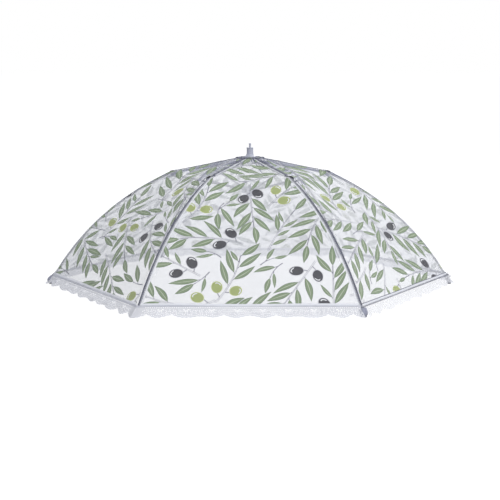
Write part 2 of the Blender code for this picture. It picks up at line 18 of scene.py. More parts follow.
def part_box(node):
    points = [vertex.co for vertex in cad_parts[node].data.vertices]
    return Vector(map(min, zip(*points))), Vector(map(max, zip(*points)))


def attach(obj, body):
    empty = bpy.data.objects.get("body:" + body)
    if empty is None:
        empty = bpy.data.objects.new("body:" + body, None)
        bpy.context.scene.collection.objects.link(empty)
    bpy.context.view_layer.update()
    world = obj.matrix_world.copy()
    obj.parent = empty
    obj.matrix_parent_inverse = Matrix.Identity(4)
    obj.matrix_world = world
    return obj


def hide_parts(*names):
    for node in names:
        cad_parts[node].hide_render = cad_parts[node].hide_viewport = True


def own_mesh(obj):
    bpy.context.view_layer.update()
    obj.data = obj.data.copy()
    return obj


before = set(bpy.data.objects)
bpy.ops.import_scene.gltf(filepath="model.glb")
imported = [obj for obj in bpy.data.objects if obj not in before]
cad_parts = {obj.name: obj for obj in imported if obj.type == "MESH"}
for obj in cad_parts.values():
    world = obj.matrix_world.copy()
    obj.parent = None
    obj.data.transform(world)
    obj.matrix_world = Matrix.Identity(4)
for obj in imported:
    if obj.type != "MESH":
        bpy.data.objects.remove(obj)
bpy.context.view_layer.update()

# Camera, fitted to the photograph
CAMERA_DISTANCE = 2.152
CAMERA_RISE = math.radians(8.32)
CAMERA_AIM = Vector((0, 0, 0.056))
FRAME_PIXELS = 500
FOCAL_PIXELS = 1308
SENSOR = 36.0

# Ribs as the CAD has them, as (distance from the axis, height)
RIB_COUNT = 6
TURN = 2 * math.pi / RIB_COUNT
HALF_GORE = TURN / 2
BEND = Vector((0.127, 0.1839))
FOOT = Vector((0.330, 0))
BOW_RADIUS = 0.413
HEM_ABOVE_FOOT = 0.0158  # along the rib

# Net over the ribs
PATCH_HOLE = 0.0045  # axis to the hole of the patch that lies on the net under the cap
PATCH_RADIUS = 0.0235
PATCH_LIFT = 0.0004
NET_START = 0.0102  # axis to the net's upper edge, under the cap's foot
LEVEL_END = 0.0155
NET_LIFT_AT_BEND = 0.0026  # rib wire's centre to the net's underside, over a clip
NET_LIFT = 0.0019
LIFT_EASE = 0.040
TIP_LIFT = 0.0037  # over a rib tip's mouth
TIP_EASE = 0.010
NET_THICKNESS = 0.0003
NET_SAG = 0.0045
LINE_STEP = 0.002
PATCH_STEPS = 5
BOW_STEPS = 60
BEND_ROUNDINGS = 4
CLIP_SETBACK = 0.0048
RAYS = ((4.5, 0.13, 1.0), (8.2, -0.2, 0.6))  # (count in a gore, shift from gore to gore, strength)
RAY_HEIGHT = 0.00045
PUCKER_HEIGHT = 0.00022
SLACK_HEIGHT = 0.0011
BROAD_HEIGHT = 0.0009
RAY_FADE = (0.25, 0.35)  # where rays start to fade and over how much more, as shares of the way down
PUCKER_PITCHES = (0.0021, 0.0034)
PUCKER_REACH = 0.006
PUCKER_START = 0.002  # flat cloth beside a seam
SLACK_INSET = (0.016, 0.030)  # of a slack fold from its rib at the crown, and how much more at the hem
SLACK_SPREAD = 0.006
SAG_EASE = 0.05
GRID = 0.006
EDGE_STEP = 0.005

# Seams and hem of the net
SHEER_WIDTH = 0.0027  # net drawn tight over a rib
SHEER_WIDTH_AT_CLIP = 0.0080
SHEER_REACH = 0.005  # along the rib, of the clip's pull
SEAM_BAND_WIDTH = 0.0068
BANDED_GORES = (1, 3, 5)
# net gathered on a rib near the crown: more opaque, and grey as painted shade
GATHER_SHADE_WIDTH = 0.0050
HEM_BAND = 0.0045
HEM_STITCH = 0.0022
SEAM_STITCH = 0.0034
SEAM_LINE = 0.0036  # rib's middle to the seam's stitches
PAINTED_SHADE_HEMS = (6,)  # gores whose hem is drawn as a wide double line of grey thread, which paints its shade
# gores whose hem cords are grey thread, which paints their shade
PAINTED_SHADE_CORDS = (1, 3, 6)
HEM_LINE = 0.0040  # upper line of a hem whose grey thread paints shade, to its edge
SHADED_HEMS = (1, 3)  # gores whose hem is painted with grey shade on its inner side

# Pleats of the net where it is drawn in at the crown and at the clips, with painted shade along them
# (share of the gore's width from its rib, end)
CROWN_PLEATS = ((0.07, 0.110), (0.15, 0.090), (0.30, 0.118), (0.23, 0.060), (0.42, 0.046))
CLIP_PLEATS = ((0.0045, 0.085), (0.0100, 0.060), (0.0170, 0.045))  # (inset, length)
CLIP_PLEAT_START = 0.006  # above the clip
PLEAT_TOP = 0.001  # below the net's upper edge
# width of the strip of painted shade along a pleat, and its least width
PLEAT_SHADE_WIDTH = 0.0021
PLEAT_SHADE_EDGE = 0.0003
PLEAT_SPREAD = 0.0012
PLEAT_HEIGHT = 0.0006
SHOULDER_RISE = 0.030  # of the painted crease shade that runs from clip to clip, at the gore's middle
# width of the painted crease shade from clip to clip
SHOULDER_SHADE_WIDTH = 0.0013
SHADES = ((0.30, 0.150), (0.62, 0.120))  # (inset as a share of half the width, end) of painted shade where cloth is drawn together
SHADE_SHARE = 0.18
SHADE_TOP = 0.002
SHADE_EDGE = 0.0006
SLACK_FOLD = (0.0100, 0.0035)  # (inset, width) of the slack net beside a rib of a wide gore
SLACK_FOLD_ENDS = (0.010, 0.050)  # below the clip, and above the hem
CREASE_POINTS = 12

# Lace
SCALLOPS = 9
LACE_TABLE_GAP = 0.0008
LACE_FLARE = 0.0015  # how far the lace's lower edge stands out
SCALLOP_DEPTH = 0.0042
PICOTS = 6
PICOT_DEPTH = 0.0011
WORN_EDGE = 0.0014
LACE_THICKNESS = 0.00035
LACE_RIPPLE = 0.0013
TIP_COVER = 0.0008  # how far lace that passes a rib tip stands out over it
TIP_COVER_WIDTH = 0.011
TIP_MARGIN = 0.0046  # where lace stops short of a tip, from the rib's middle
LACED_TIPS = (3, 5)


def upward(dip):
    """Unit direction square to one that falls by dip below the level, on its upper side."""
    return Vector((math.sin(dip), math.cos(dip)))


def eased(share):
    """Share from 0 to 1 with an easy start and end."""
    share = np.clip(share, 0, 1)
    return share * share * (3 - 2 * share)


BOW_CHORD = FOOT - BEND
BOW_CHORD_DIP = math.atan2(-BOW_CHORD.y, BOW_CHORD.x)
BOW_HALF_SWEEP = math.asin(BOW_CHORD.length / (2 * BOW_RADIUS))
BOW_START_DIP = BOW_CHORD_DIP - BOW_HALF_SWEEP
HEM_DIP = BOW_CHORD_DIP + BOW_HALF_SWEEP - HEM_ABOVE_FOOT / BOW_RADIUS
BOW_CENTRE = BEND - BOW_RADIUS * upward(BOW_START_DIP)
CROWN_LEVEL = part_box("canopy_panel_1")[1].z - NET_THICKNESS


def net_line():
    """Radii and heights of the net's underside over a rib, from the patch's hole to the hem."""
    bow_length = (HEM_DIP - BOW_START_DIP) * BOW_RADIUS
    points = [(PATCH_HOLE, CROWN_LEVEL), (LEVEL_END, CROWN_LEVEL)]
    for i in range(BOW_STEPS + 1):
        share = i / BOW_STEPS
        dip = BOW_START_DIP + (HEM_DIP - BOW_START_DIP) * share
        lift = NET_LIFT_AT_BEND + (NET_LIFT - NET_LIFT_AT_BEND) * float(eased(share * bow_length / LIFT_EASE))
        lift += (TIP_LIFT - NET_LIFT) * float(eased(1 - (1 - share) * bow_length / TIP_EASE))
        points.append(tuple(BOW_CENTRE + (BOW_RADIUS + lift) * upward(dip)))
    line = np.array(points)
    lengths = np.cumsum([0, *np.hypot(*np.diff(line, axis=0).T)])
    marks = np.linspace(0, lengths[-1], round(lengths[-1] / LINE_STEP) + 1)
    line = np.stack([np.interp(marks, lengths, line[:, i]) for i in (0, 1)])
    for _ in range(BEND_ROUNDINGS):
        line[:, 1:-1] = (line[:, :-2] + 2 * line[:, 1:-1] + line[:, 2:]) / 4
    return line


LINE_RADII, LINE_HEIGHTS = net_line()
LINE_LENGTHS = np.cumsum([0, *np.hypot(np.diff(LINE_RADII), np.diff(LINE_HEIGHTS))])
LINE_DIPS = np.arctan2(-np.gradient(LINE_HEIGHTS), np.gradient(LINE_RADII))
NET_TOP = NET_START - PATCH_HOLE
NET_END = float(LINE_LENGTHS[-1])
PATCH_DOWN = float(np.interp(PATCH_RADIUS, LINE_RADII, LINE_LENGTHS))
CLIP_DOWN = float(np.interp(BEND.x - CLIP_SETBACK, LINE_RADII, LINE_LENGTHS))


def width_at(down):
    """Width of a gore from rib to rib, so far down the cloth."""
    return 2 * math.sin(HALF_GORE) * np.interp(down, LINE_LENGTHS, LINE_RADII)


def out_of_gore(down):
    """Outward normals of a gore's middle, as (away from the axis, up)."""
    dip = np.interp(down, LINE_LENGTHS, LINE_DIPS)
    away, up = np.sin(dip), np.cos(dip) * math.cos(HALF_GORE)
    return away / np.hypot(away, up), up / np.hypot(away, up)


def in_gore(gore, away, along, height):
    """Points from a gore's own axes: away from the axis over its middle, along its width, and up."""
    middle = TURN * (gore - 1) + HALF_GORE
    x = away * np.cos(middle) - along * np.sin(middle)
    y = away * np.sin(middle) + along * np.cos(middle)
    return np.stack([x, y, height + 0 * x], axis=-1)


def pleat_lines():
    """Pleats of a half gore, as (first down, last down, inset at the first, inset at the last)."""
    top, above = NET_TOP + PLEAT_TOP, CLIP_DOWN - CLIP_PLEAT_START
    lines = [(top, end, share * width_at(top), share * width_at(end)) for share, end in CROWN_PLEATS]
    return lines + [(above, CLIP_DOWN + length, SHEER_WIDTH / 2, inset) for inset, length in CLIP_PLEATS]


PLEATS = pleat_lines()


def swell(share):
    """Fullness of a pleat along its length."""
    return np.sin(math.pi * np.clip(share, 0, 1) ** 0.6)


def folds(gore, share, down):
    """Height of the cloth's folds: rays from the crown, puckers along the seams and slack folds by the ribs.

    Multiples of gore and side shift each wave, so that no two gores fold alike.
    """
    fall = down / NET_END
    belly = np.sin(math.pi * share)
    rays = sum(part * np.sin(2 * math.pi * (count * share + shift * gore)) for count, shift, part in RAYS)
    height = RAY_HEIGHT * rays * belly * eased(fall * 8) * (1 - eased((fall - RAY_FADE[0]) / RAY_FADE[1]))
    for inwards, side in ((share * width_at(down), 1), ((1 - share) * width_at(down), 2)):
        short, long = (down / pitch for pitch in PUCKER_PITCHES)
        pucker = np.sin(short + 5 * gore + side) + 0.7 * np.sin(long + gore * side)
        height += PUCKER_HEIGHT * pucker * np.exp(-inwards / PUCKER_REACH) * eased(inwards / PUCKER_START)
        slack = 0.5 + 0.5 * math.sin(2.1 * gore + 3.7 * side)
        ridge = np.exp(-(((inwards - SLACK_INSET[0] - SLACK_INSET[1] * fall) / SLACK_SPREAD) ** 2))
        height += SLACK_HEIGHT * slack * ridge * eased((fall - 0.15) * 5) * (1 - eased((fall - 0.6) * 3))
        for first, last, inset_first, inset_last in PLEATS:
            along = (down - first) / (last - first)
            off = inwards - inset_first - (inset_last - inset_first) * along
            height += PLEAT_HEIGHT * swell(along) * np.exp(-((off / PLEAT_SPREAD) ** 2))
    broad = np.sin(5.1 * share + 17 * fall + 2 * gore) + np.sin(9.7 * share - 11 * fall + gore)
    return height + BROAD_HEIGHT * broad * belly * eased(fall * 4)


def on_net(gore, across, down, rise):
    """Points of the net, rise above its underside."""
    radius = np.interp(down, LINE_LENGTHS, LINE_RADII)
    height = np.interp(down, LINE_LENGTHS, LINE_HEIGHTS)
    share = 0.5 + across / width_at(down)
    slope = eased((down - LEVEL_END + PATCH_HOLE) / SAG_EASE) * np.sin(math.pi * down / NET_END)
    lift = folds(gore, share, down) - NET_SAG * slope * np.sin(math.pi * share) + rise
    away, up = out_of_gore(down)
    return in_gore(gore, radius * math.cos(HALF_GORE) + lift * away, across, height + lift * up)


# Colours, as they look on the object


def srgb(red, green, blue):
    """Colour for a shader from its 0 to 255 values on a screen."""
    return tuple(((c / 255 + 0.055) / 1.055) ** 2.4 for c in (red, green, blue))


NET_WHITE = srgb(233, 235, 240)
HEM_WHITE = srgb(236, 238, 244)
# painted shade: the hem's inner side is a little darker than its outer side
HEM_INSIDE_SHADED = srgb(226, 228, 237)
# painted shade on the inner side of the hems of SHADED_HEMS
HEM_INSIDE_PAINTED_SHADE = srgb(140, 143, 164)
# painted light: the net's inner side is whiter than its outer side
NET_INSIDE_BRIGHTENED = srgb(248, 249, 252)
# painted shade of the net gathered on the ribs near the crown
GATHER_SHADE_GREY = srgb(112, 115, 134)
# painted shade along the pleats
PLEAT_SHADE_GREY = srgb(140, 143, 163)
# painted shade in creases, and the tint of the net drawn over a rib
CREASE_SHADE_GREY = srgb(164, 167, 184)
SHADE_GREY = srgb(186, 189, 205)
PATCH_GREY = srgb(160, 163, 182)
LACE = srgb(246, 247, 252)
THREAD = srgb(192, 194, 206)
# grey thread of the stitches, and painted shade on the hem cords of some gores
THREAD_GREY_AND_SHADE = srgb(108, 110, 124)
FRAY_GREY = srgb(156, 158, 168)
CAP_GREY = srgb(176, 179, 193)
TIP_GREY = srgb(128, 131, 144)
BUNCH_GREY = srgb(164, 167, 184)
HUB_GREY = srgb(206, 208, 218)
STEEL = srgb(150, 152, 160)
STRETCHER_STEEL = srgb(112, 114, 124)
RIB_STEEL = srgb(88, 90, 100)
CLIP_BLACK = srgb(34, 34, 40)

NET_ALPHA = 0.37  # of each side of the net
PRINT_ALPHA = 0.84
THROUGH_INSIDE = 0.65  # share of the light that the net's inner side has from outside
PRINTS = {
    "leaf_edge": srgb(114, 132, 106),
    "leaf": srgb(138, 156, 124),
    "leaf_midrib": srgb(184, 196, 172),
    "fruit_dark_rim": srgb(140, 140, 150),
    "fruit_dark": srgb(70, 70, 76),
    "fruit_green_rim": srgb(204, 212, 160),
    "fruit_green": srgb(170, 182, 118),
    "gleam": srgb(236, 238, 240),
    "twig": srgb(126, 126, 140),
}
INSIDE_FADE = 0.94  # how much paler a print is on the net's inner side


# Materials


def new_material(name):
    made = bpy.data.materials.new(name)
    made.use_nodes = True
    return made, made.node_tree, made.node_tree.nodes["Principled BSDF"]


def put(node, **settings):
    """Sets a node's sockets or properties by name."""
    for key, value in settings.items():
        if key in node.inputs:
            node.inputs[key].default_value = value
        else:
            setattr(node, key, value)
    return node


def add(tree, kind, **settings):
    return put(tree.nodes.new(f"ShaderNode{kind}"), **settings)


def join(source, target):
    target.id_data.links.new(source, target)


def mixed(tree, share, first, second):
    """Shader that is a share of the second and the rest of the first. The share is a number or a socket."""
    mix = add(tree, "MixShader")
    if isinstance(share, float):
        mix.inputs[0].default_value = share
    else:
        join(share, mix.inputs[0])
    join(first, mix.inputs[1])
    join(second, mix.inputs[2])
    return mix.outputs[0]


def threads_across(tree, place, direction, pitch):
    """Threads a pitch apart. A wave texture has 20 bands in a length of 2 pi at scale 1."""
    wave = add(tree, "TexWave", bands_direction=direction, Scale=2 * math.pi / (20 * pitch), Distortion=0.6)
    put(wave, **{"Detail Scale": 0.4})
    join(place, wave.inputs["Vector"])
    return wave.outputs["Fac"]


def mottled(tree, shader, place, colour, scale, amount):
    """Base colour that wanders a little over the surface."""
    grain = add(tree, "TexNoise", Scale=scale, Detail=4.0, Roughness=0.6)
    join(place, grain.inputs["Vector"])
    mix = add(tree, "Mix", data_type="RGBA", clamp_factor=True)
    first, second = [i for i in mix.inputs if i.type == "RGBA"]
    first.default_value = (*(c * (1 - amount) for c in colour), 1)
    second.default_value = (*(min(1, c * (1 + amount)) for c in colour), 1)
    join(grain.outputs["Fac"], mix.inputs["Factor"])
    join(next(o for o in mix.outputs if o.type == "RGBA"), shader.inputs["Base Color"])


def relief(tree, shader, height, strength, depth):
    bump = add(tree, "Bump", Strength=strength, Distance=depth)
    join(height, bump.inputs["Height"])
    join(bump.outputs["Normal"], shader.inputs["Normal"])


def varied_roughness(tree, shader, source, low, high):
    rough = add(tree, "MapRange", **{"To Min": low, "To Max": high})
    join(source, rough.inputs["Value"])
    join(rough.outputs["Result"], shader.inputs["Roughness"])


def cloth(name, colour, alpha, pitch=0.0009, strength=0.35, through=0.2):
    """Fine woven net of one colour, which lets a share of the light through."""
    made, tree, shader = new_material(name)
    place = add(tree, "UVMap", uv_map="cloth").outputs["UV"]
    weave = add(tree, "Math", operation="MAXIMUM")
    for i, direction in enumerate("XY"):
        join(threads_across(tree, place, direction, pitch), weave.inputs[i])
    relief(tree, shader, weave.outputs[0], strength, 0.0003)
    varied_roughness(tree, shader, weave.outputs[0], 0.88, 0.74)
    mottled(tree, shader, place, colour, 160.0, 0.04)
    put(shader, **{"Specular IOR Level": 0.25, "Sheen Weight": 0.15, "Sheen Roughness": 0.5, "Alpha": alpha})
    scattered = add(tree, "BsdfTranslucent", Color=(*colour, 1)).outputs[0]
    thin = mixed(tree, alpha, add(tree, "BsdfTransparent").outputs[0], scattered)
    join(mixed(tree, through, shader.outputs[0], thin), tree.nodes["Material Output"].inputs[0])
    return made


def solid(name, colour, roughness, grain, metallic=0.0, amount=0.05, specular=0.5):
    """Moulded plastic or drawn metal, with a fine grain, duller patches and an uneven colour."""
    made, tree, shader = new_material(name)
    place = add(tree, "TexCoord").outputs["Object"]
    mottled(tree, shader, place, colour, 110.0, amount)
    fine = add(tree, "TexNoise", Scale=grain, Detail=3.0)
    join(place, fine.inputs["Vector"])
    relief(tree, shader, fine.outputs["Fac"], 0.2, 0.0002)
    varied_roughness(tree, shader, fine.outputs["Fac"], roughness - 0.1, roughness + 0.1)
    put(shader, Metallic=metallic, **{"Specular IOR Level": specular})
    return made


def faded(colour):
    """Print as it shows on the cloth's inner side, paled towards that side's painted-light white."""
    return tuple(c + (n - c) * INSIDE_FADE for c, n in zip(colour, NET_INSIDE_BRIGHTENED))


def net_materials():
    """Materials of the net's outer side by name, and of its inner side."""
    outer = {
        "net": cloth("net", NET_WHITE, NET_ALPHA),
        "hem": cloth("net_hem", HEM_WHITE, 0.80),
        "hem_shaded": cloth("net_hem_with_shaded_inside", HEM_WHITE, 0.80),
        "band": cloth("net_seam_band", NET_WHITE, 0.60),
        # net drawn tight over a rib, tinted with the crease's painted shade grey
        "sheer": cloth("net_over_rib", CREASE_SHADE_GREY, 0.15),
        # gathered net: more opaque, and painted with shade
        "gathered_shade": cloth("net_gathered", GATHER_SHADE_GREY, 0.62),
        # pleats: a little more opaque, and painted with shade
        "pleat_shade": cloth("net_pleat", PLEAT_SHADE_GREY, 0.46),
        # creases: painted shade
        "crease_shade": cloth("net_crease", CREASE_SHADE_GREY, 0.28),
        "shade": cloth("net_shade", SHADE_GREY, 0.44),
    }
    inner = {
        **outer,
        # inner side of the net, whiter as painted light
        "net": cloth("net_inside_brightened", NET_INSIDE_BRIGHTENED, NET_ALPHA, through=THROUGH_INSIDE),
        # inner side of the hem, a little darker as painted shade
        "hem": cloth("net_hem_inside_shaded", HEM_INSIDE_SHADED, 0.70, through=0.4),
        # grey painted shade on the inner side of these gores' hems
        "hem_shaded": cloth("net_hem_inside_painted_shade", HEM_INSIDE_PAINTED_SHADE, 0.80),
    }
    for name, colour in PRINTS.items():
        outer[name] = cloth(f"print_{name}", colour, PRINT_ALPHA)
        inner[name] = cloth(f"print_{name}_inside", faded(colour), PRINT_ALPHA)
    return outer, inner


# Flat cloth: outlines, and the triangles between them

LEAK_SHARE = 1.02  # of its own area, past which an outline's triangles have leaked
SHARP_ANGLE = math.radians(50)


def circle(centre, radius, sides, stretch=1.0, turn=0.0):
    points = []
    for i in range(sides):
        angle = 2 * math.pi * i / sides
        spot = Vector((radius * math.cos(angle), radius * stretch * math.sin(angle)))
        points.append(centre + Matrix.Rotation(turn, 2) @ spot)
    return points


def pointing(angle):
    return Vector((math.cos(angle), math.sin(angle)))


def ribbon(path, widths):
    """Outline of a strip along a path."""
    left, right = [], []
    for i, (point, width) in enumerate(zip(path, widths)):
        before, after = path[max(i - 1, 0)], path[min(i + 1, len(path) - 1)]
        along = (after - before).normalized()
        side = Vector((-along.y, along.x)) * width / 2
        left.append(point + side)
        right.append(point - side)
    return left + right[::-1]


def signed_area(points):
    return sum(a.x * b.y - b.x * a.y for a, b in zip(points, points[1:] + points[:1])) / 2


def is_inside(spot, outline):
    """Whether a flat spot lies in an outline."""
    crossings = 0
    for a, b in zip(outline, outline[1:] + outline[:1]):
        if (a.y > spot[1]) != (b.y > spot[1]):
            crossings += spot[0] < a.x + (b.x - a.x) * (spot[1] - a.y) / (b.y - a.y)
    return crossings % 2 == 1


def triangle_areas(flat, triangles):
    first, second = (flat[triangles[:, i]] - flat[triangles[:, 0]] for i in (1, 2))
    return np.abs(first[:, 0] * second[:, 1] - first[:, 1] * second[:, 0]) / 2


def kept_in(flat, triangles, inside, outlines):
    """The outlines that each triangle lies in, after a test of those that leaked out of their own area."""
    covered = np.zeros(len(outlines))
    for area, covers in zip(triangle_areas(flat, triangles), inside):
        covered[covers] += area
    leaking = {i for i, outline in enumerate(outlines) if covered[i] > LEAK_SHARE * abs(signed_area(outline))}
    if not leaking:
        return inside
    centres = flat[triangles].mean(axis=1)
    return [
        [i for i in covers if i not in leaking or is_inside(centre, outlines[i])]
        for centre, covers in zip(centres, inside)
    ]


def triangles_of(outlines, loose=()):
    """Flat points, triangles, and for each triangle the numbers of the outlines that it lies in."""
    points, faces = [], []
    for outline in outlines:
        start = len(points)
        points += outline if signed_area(outline) > 0 else outline[::-1]
        faces.append(list(range(start, len(points))))
    found = delaunay_2d_cdt(points + list(loose), [], faces, 1, 1e-6)
    flat, triangles = np.array([tuple(p) for p in found[0]]), np.array(found[2])
    return flat, triangles, kept_in(flat, triangles, found[5], outlines)


def linked(name, mesh):
    made = bpy.data.objects.new(name, mesh)
    bpy.context.scene.collection.objects.link(made)
    return made


def mesh_object(name, vertices, faces, finishes):
    """Smooth mesh with its finishes, sharp where faces meet past an angle."""
    mesh = bpy.data.meshes.new(name)
    mesh.from_pydata(vertices, [], faces)
    for finish in finishes:
        mesh.materials.append(finish)
    mesh.shade_smooth()
    mesh.set_sharp_from_angle(angle=SHARP_ANGLE)
    return linked(name, mesh)


def sheet_object(name, flat, triangles, slots, finishes, lay, thickness):
    """Closed thin sheet over flat triangles. lay puts flat points, at a rise, into the row frame.

    slots holds the outer and the inner side's material numbers.
    """
    used, corners = np.unique(triangles, return_inverse=True)
    corners = corners.reshape(-1, 3)
    count = len(used)
    across, down = flat[used].T
    outer, inner = lay(across, down, thickness), lay(across, down, 0.0)
    edges = np.vstack([corners[:, [0, 1]], corners[:, [1, 2]], corners[:, [2, 0]]])
    keys = edges @ (count, 1)
    is_rim = ~np.isin(keys, edges @ (1, count))
    rim = edges[is_rim]
    faces = [*corners[:, ::-1].tolist(), *(corners + count).tolist()]
    faces += np.column_stack([rim, rim[:, ::-1] + count]).tolist()
    made = mesh_object(name, np.vstack([outer, inner]).tolist(), faces, finishes)
    mesh = made.data
    rim_slots = np.tile(slots[0], 3)[is_rim]
    mesh.polygons.foreach_set("material_index", np.concatenate([*slots, rim_slots]))
    uv = mesh.uv_layers.new(name="cloth")
    loops = np.empty(len(mesh.loops), int)
    mesh.loops.foreach_get("vertex_index", loops)
    uv.data.foreach_set("uv", np.tile(flat[used], (2, 1))[loops].ravel())
    return made


# Print: sprigs of leaves and fruit, scattered over the flat cloth

SPRIG_GAP = 0.0021
LEAF_GAP = 0.0007
LEAF_LENGTH = 0.041
LEAF_WIDTH = 0.0099
LEAF_SPACING = 0.0105
LEAF_SCALES = (1.0, 0.8, 0.62)
SIDE_STRETCH = 1.3  # across, of the print on the gores that the photograph shows at a slant
TOP_STRETCH = 0.9  # down the cloth, of the print near the crown
TOP_STRETCH_END = 0.24
PRINT_REACH = 0.32  # of the print beyond the cloth's edges
PRINT_MARGIN = 0.02  # how far beyond them a sprig may start
PRINT_SEEDS = (45, 43, 49, 44, 50, 40)
FRUIT_TOP = 0.150  # no fruit is printed above this
PLAIN_GORES = (2, 5)
FRUIT_SIZES = {"dark": (0.0218, 0.0160), "green": (0.0200, 0.0170)}
# (stem length, fewest leaves, tries) of each round of sprigs, from the fullest to the ones that fill gaps
SPRIG_ROUNDS = ((0.092, 6, 600), (0.070, 5, 800), (0.046, 4, 1200), (0.030, 3, 1600), (0.022, 2, 2000))
START_MARGIN = 0.03  # how far past a rib a sprig may start
FRUIT_STEPS = 3  # leaf places at a stem's foot that may bear fruit
FRUIT_SHAPES_MOST = 6  # two fruits of three shapes
SPRIG_KINDS = ("dark", "green", "bare", "dark", "green", "bare", "dark")
SIDE_SPRIG_KINDS = ("green", "dark", "bare", "green", "bare", "bare", "dark", "bare", "bare")
STEM_RADIUS = 0.0009
STEM_WIDTH = 0.0027
THIN_STEM_WIDTH = 0.0016  # of a stem that isn't hollow
STEM_LINE = 0.0011  # of both sides of a hollow stem together
STALK_WIDTHS = {"fruit": (0.0015, 0.0012), "leaf": (0.0014, 0.0012)}
FRUIT_STALKS = (0.006, 0.009)  # least and most length
LEAF_STALK = 0.0032


class Ground:
    """Cloth that is already printed, as circles of (across, down, radius)."""

    def __init__(self):
        self.spots = np.empty((0, 3))

    def is_free(self, spots, gap):
        if not len(self.spots):
            return True
        away = np.hypot(*(np.subtract.outer(spots[:, i], self.spots[:, i]) for i in (0, 1)))
        return bool((away - spots[:, 2:] - self.spots[:, 2]).min() > gap)

    def take(self, spots):
        self.spots = np.vstack([self.spots, spots])


def leaf(base, angle, length, width, bow):
    """Shapes of a leaf, and the circles that cover it."""
    along = pointing(angle)
    side = Vector((-along.y, along.x))

    def axis(share):
        return base + along * length * share + side * bow * length * share * (1 - share)

    def outline(first, last, breadth, steps):
        shares = [first + (last - first) * i / steps for i in range(steps + 1)]
        widths = [breadth * math.sin(math.pi * (i / steps) ** 0.85) for i in range(steps + 1)]
        left = [axis(s) + side * w / 2 for s, w in zip(shares, widths)]
        right = [axis(s) - side * w / 2 for s, w in zip(shares[1:-1], widths[1:-1])]
        return left + right[::-1]

    shapes = [
        ("leaf_edge", outline(0.0, 1.0, width, 9)),
        ("leaf", outline(0.06, 0.94, width * 0.76, 7)),
        ("leaf_midrib", outline(0.02, 0.88, width * 0.13, 4)),
    ]
    shares = (0.12, 0.3, 0.5, 0.7, 0.9)
    spots = [(*axis(s), width * 0.46 * math.sin(math.pi * s**0.85)) for s in shares]
    return shapes, np.array(spots)


def fruit(base, angle, kind, size):
    """Shapes of a fruit that hangs from base, and the circles that cover it."""
    along = pointing(angle)
    side = Vector((-along.y, along.x))
    length, breadth = (s * size for s in FRUIT_SIZES[kind])
    centre = base + along * length / 2
    gleam = []
    for reach, sweep in ((0.40, 1), (0.31, -1)):
        for i in range(6):
            turn = sweep * (0.9 - 1.5 * i / 5) + 0.45
            spot = along * length * math.cos(turn) + side * breadth * math.sin(turn)
            gleam.append(centre + reach * spot)
    shapes = [
        (f"fruit_{kind}_rim", circle(centre, length / 2, 20, breadth / length, angle)),
        (f"fruit_{kind}", circle(centre, length * 0.455, 20, breadth / length, angle)),
        ("gleam", gleam),
    ]
    spots = [(*centre, breadth * 0.52)]
    spots += [(*(centre + along * length * s), breadth * 0.38) for s in (-0.22, 0.22)]
    return shapes, np.array(spots)


def stem_path(start, angle, length, bow, steps):
    """Points along an arc."""
    points = [start]
    for i in range(steps):
        points.append(points[-1] + length / steps * pointing(angle + bow * i / steps))
    return points


def sprig(ground, rng, start, length, kind, fewest):
    """Shapes of a sprig, drawn where there is room for it, or none."""
    angle, bow = rng.uniform(0, 2 * math.pi), rng.uniform(-0.8, 0.8)
    steps = max(2, round(length / LEAF_SPACING))
    path = stem_path(start, angle, length, bow, steps)
    own = Ground()
    own.take([(*p, STEM_RADIUS) for p in path])
    if not ground.is_free(own.spots, SPRIG_GAP):
        return []
    stalks, leaves, fruits, last = [], [], [], 1
    side = rng.choice((-1, 1))
    bears = kind in FRUIT_SIZES and steps > 2
    for i in range(1, steps + 1):
        tangent = angle + bow * i / steps
        side = -side
        turn = tangent + side * rng.uniform(0.9, 1.3)
        is_low = down_of(path[i].y) > FRUIT_TOP
        if bears and i <= FRUIT_STEPS and is_low and len(fruits) < FRUIT_SHAPES_MOST:
            end = path[i] + rng.uniform(*FRUIT_STALKS) * pointing(turn)
            shapes, spots = fruit(end, turn - side * 0.4, kind, rng.uniform(0.94, 1.04))
            if ground.is_free(spots, SPRIG_GAP) and own.is_free(spots, LEAF_GAP):
                stalks.append(("twig", ribbon([path[i], end], STALK_WIDTHS["fruit"])))
                fruits += shapes
                own.take(spots)
                last = i
                continue
        turn = tangent if i == steps else tangent + side * rng.uniform(0.5, 0.8)
        foot = path[i] + LEAF_STALK * pointing(turn)
        grown = LEAF_LENGTH * rng.uniform(0.85, 1.08) * (0.84 + 0.2 * math.sin(math.pi * i / steps))
        width, bend = LEAF_WIDTH * rng.uniform(0.88, 1.06), side * rng.uniform(-0.05, 0.22)
        for scale in LEAF_SCALES:
            shapes, spots = leaf(foot, turn, grown * scale, width * scale, bend)
            if ground.is_free(spots, SPRIG_GAP) and own.is_free(spots[1:], LEAF_GAP):
                stalks.append(("twig", ribbon([path[i], foot], STALK_WIDTHS["leaf"])))
                leaves.append(shapes)
                own.take(spots)
                last = i
                break
    if len(leaves) < fewest:
        return []
    ground.take(own.spots)
    is_hollow = last > 3
    thickest = STEM_WIDTH if is_hollow else THIN_STEM_WIDTH
    widths = [thickest * (1 - 0.52 * i / steps) for i in range(last + 1)]
    stem = [("twig", ribbon(path[: last + 1], widths))]
    if is_hollow:
        stem.append(("net", ribbon(path[:last], [w - STEM_LINE for w in widths[:-1]])))
    return stalks + stem + sum(leaves, []) + fruits


STRETCH_DOWNS = np.arange(-PRINT_REACH, NET_END + PRINT_REACH, LINE_STEP)
STRETCHES = 1 + TOP_STRETCH * (1 - eased(STRETCH_DOWNS / TOP_STRETCH_END))
PRINT_DOWNS = np.cumsum(LINE_STEP / STRETCHES)


def down_of(print_down):
    """How far down the cloth a point of the print lies, which is drawn out towards the crown."""
    return float(np.interp(print_down, PRINT_DOWNS, STRETCH_DOWNS))


def is_on_gore(spot):
    return 0 < spot.y < NET_END and abs(spot.x) < width_at(spot.y) / 2


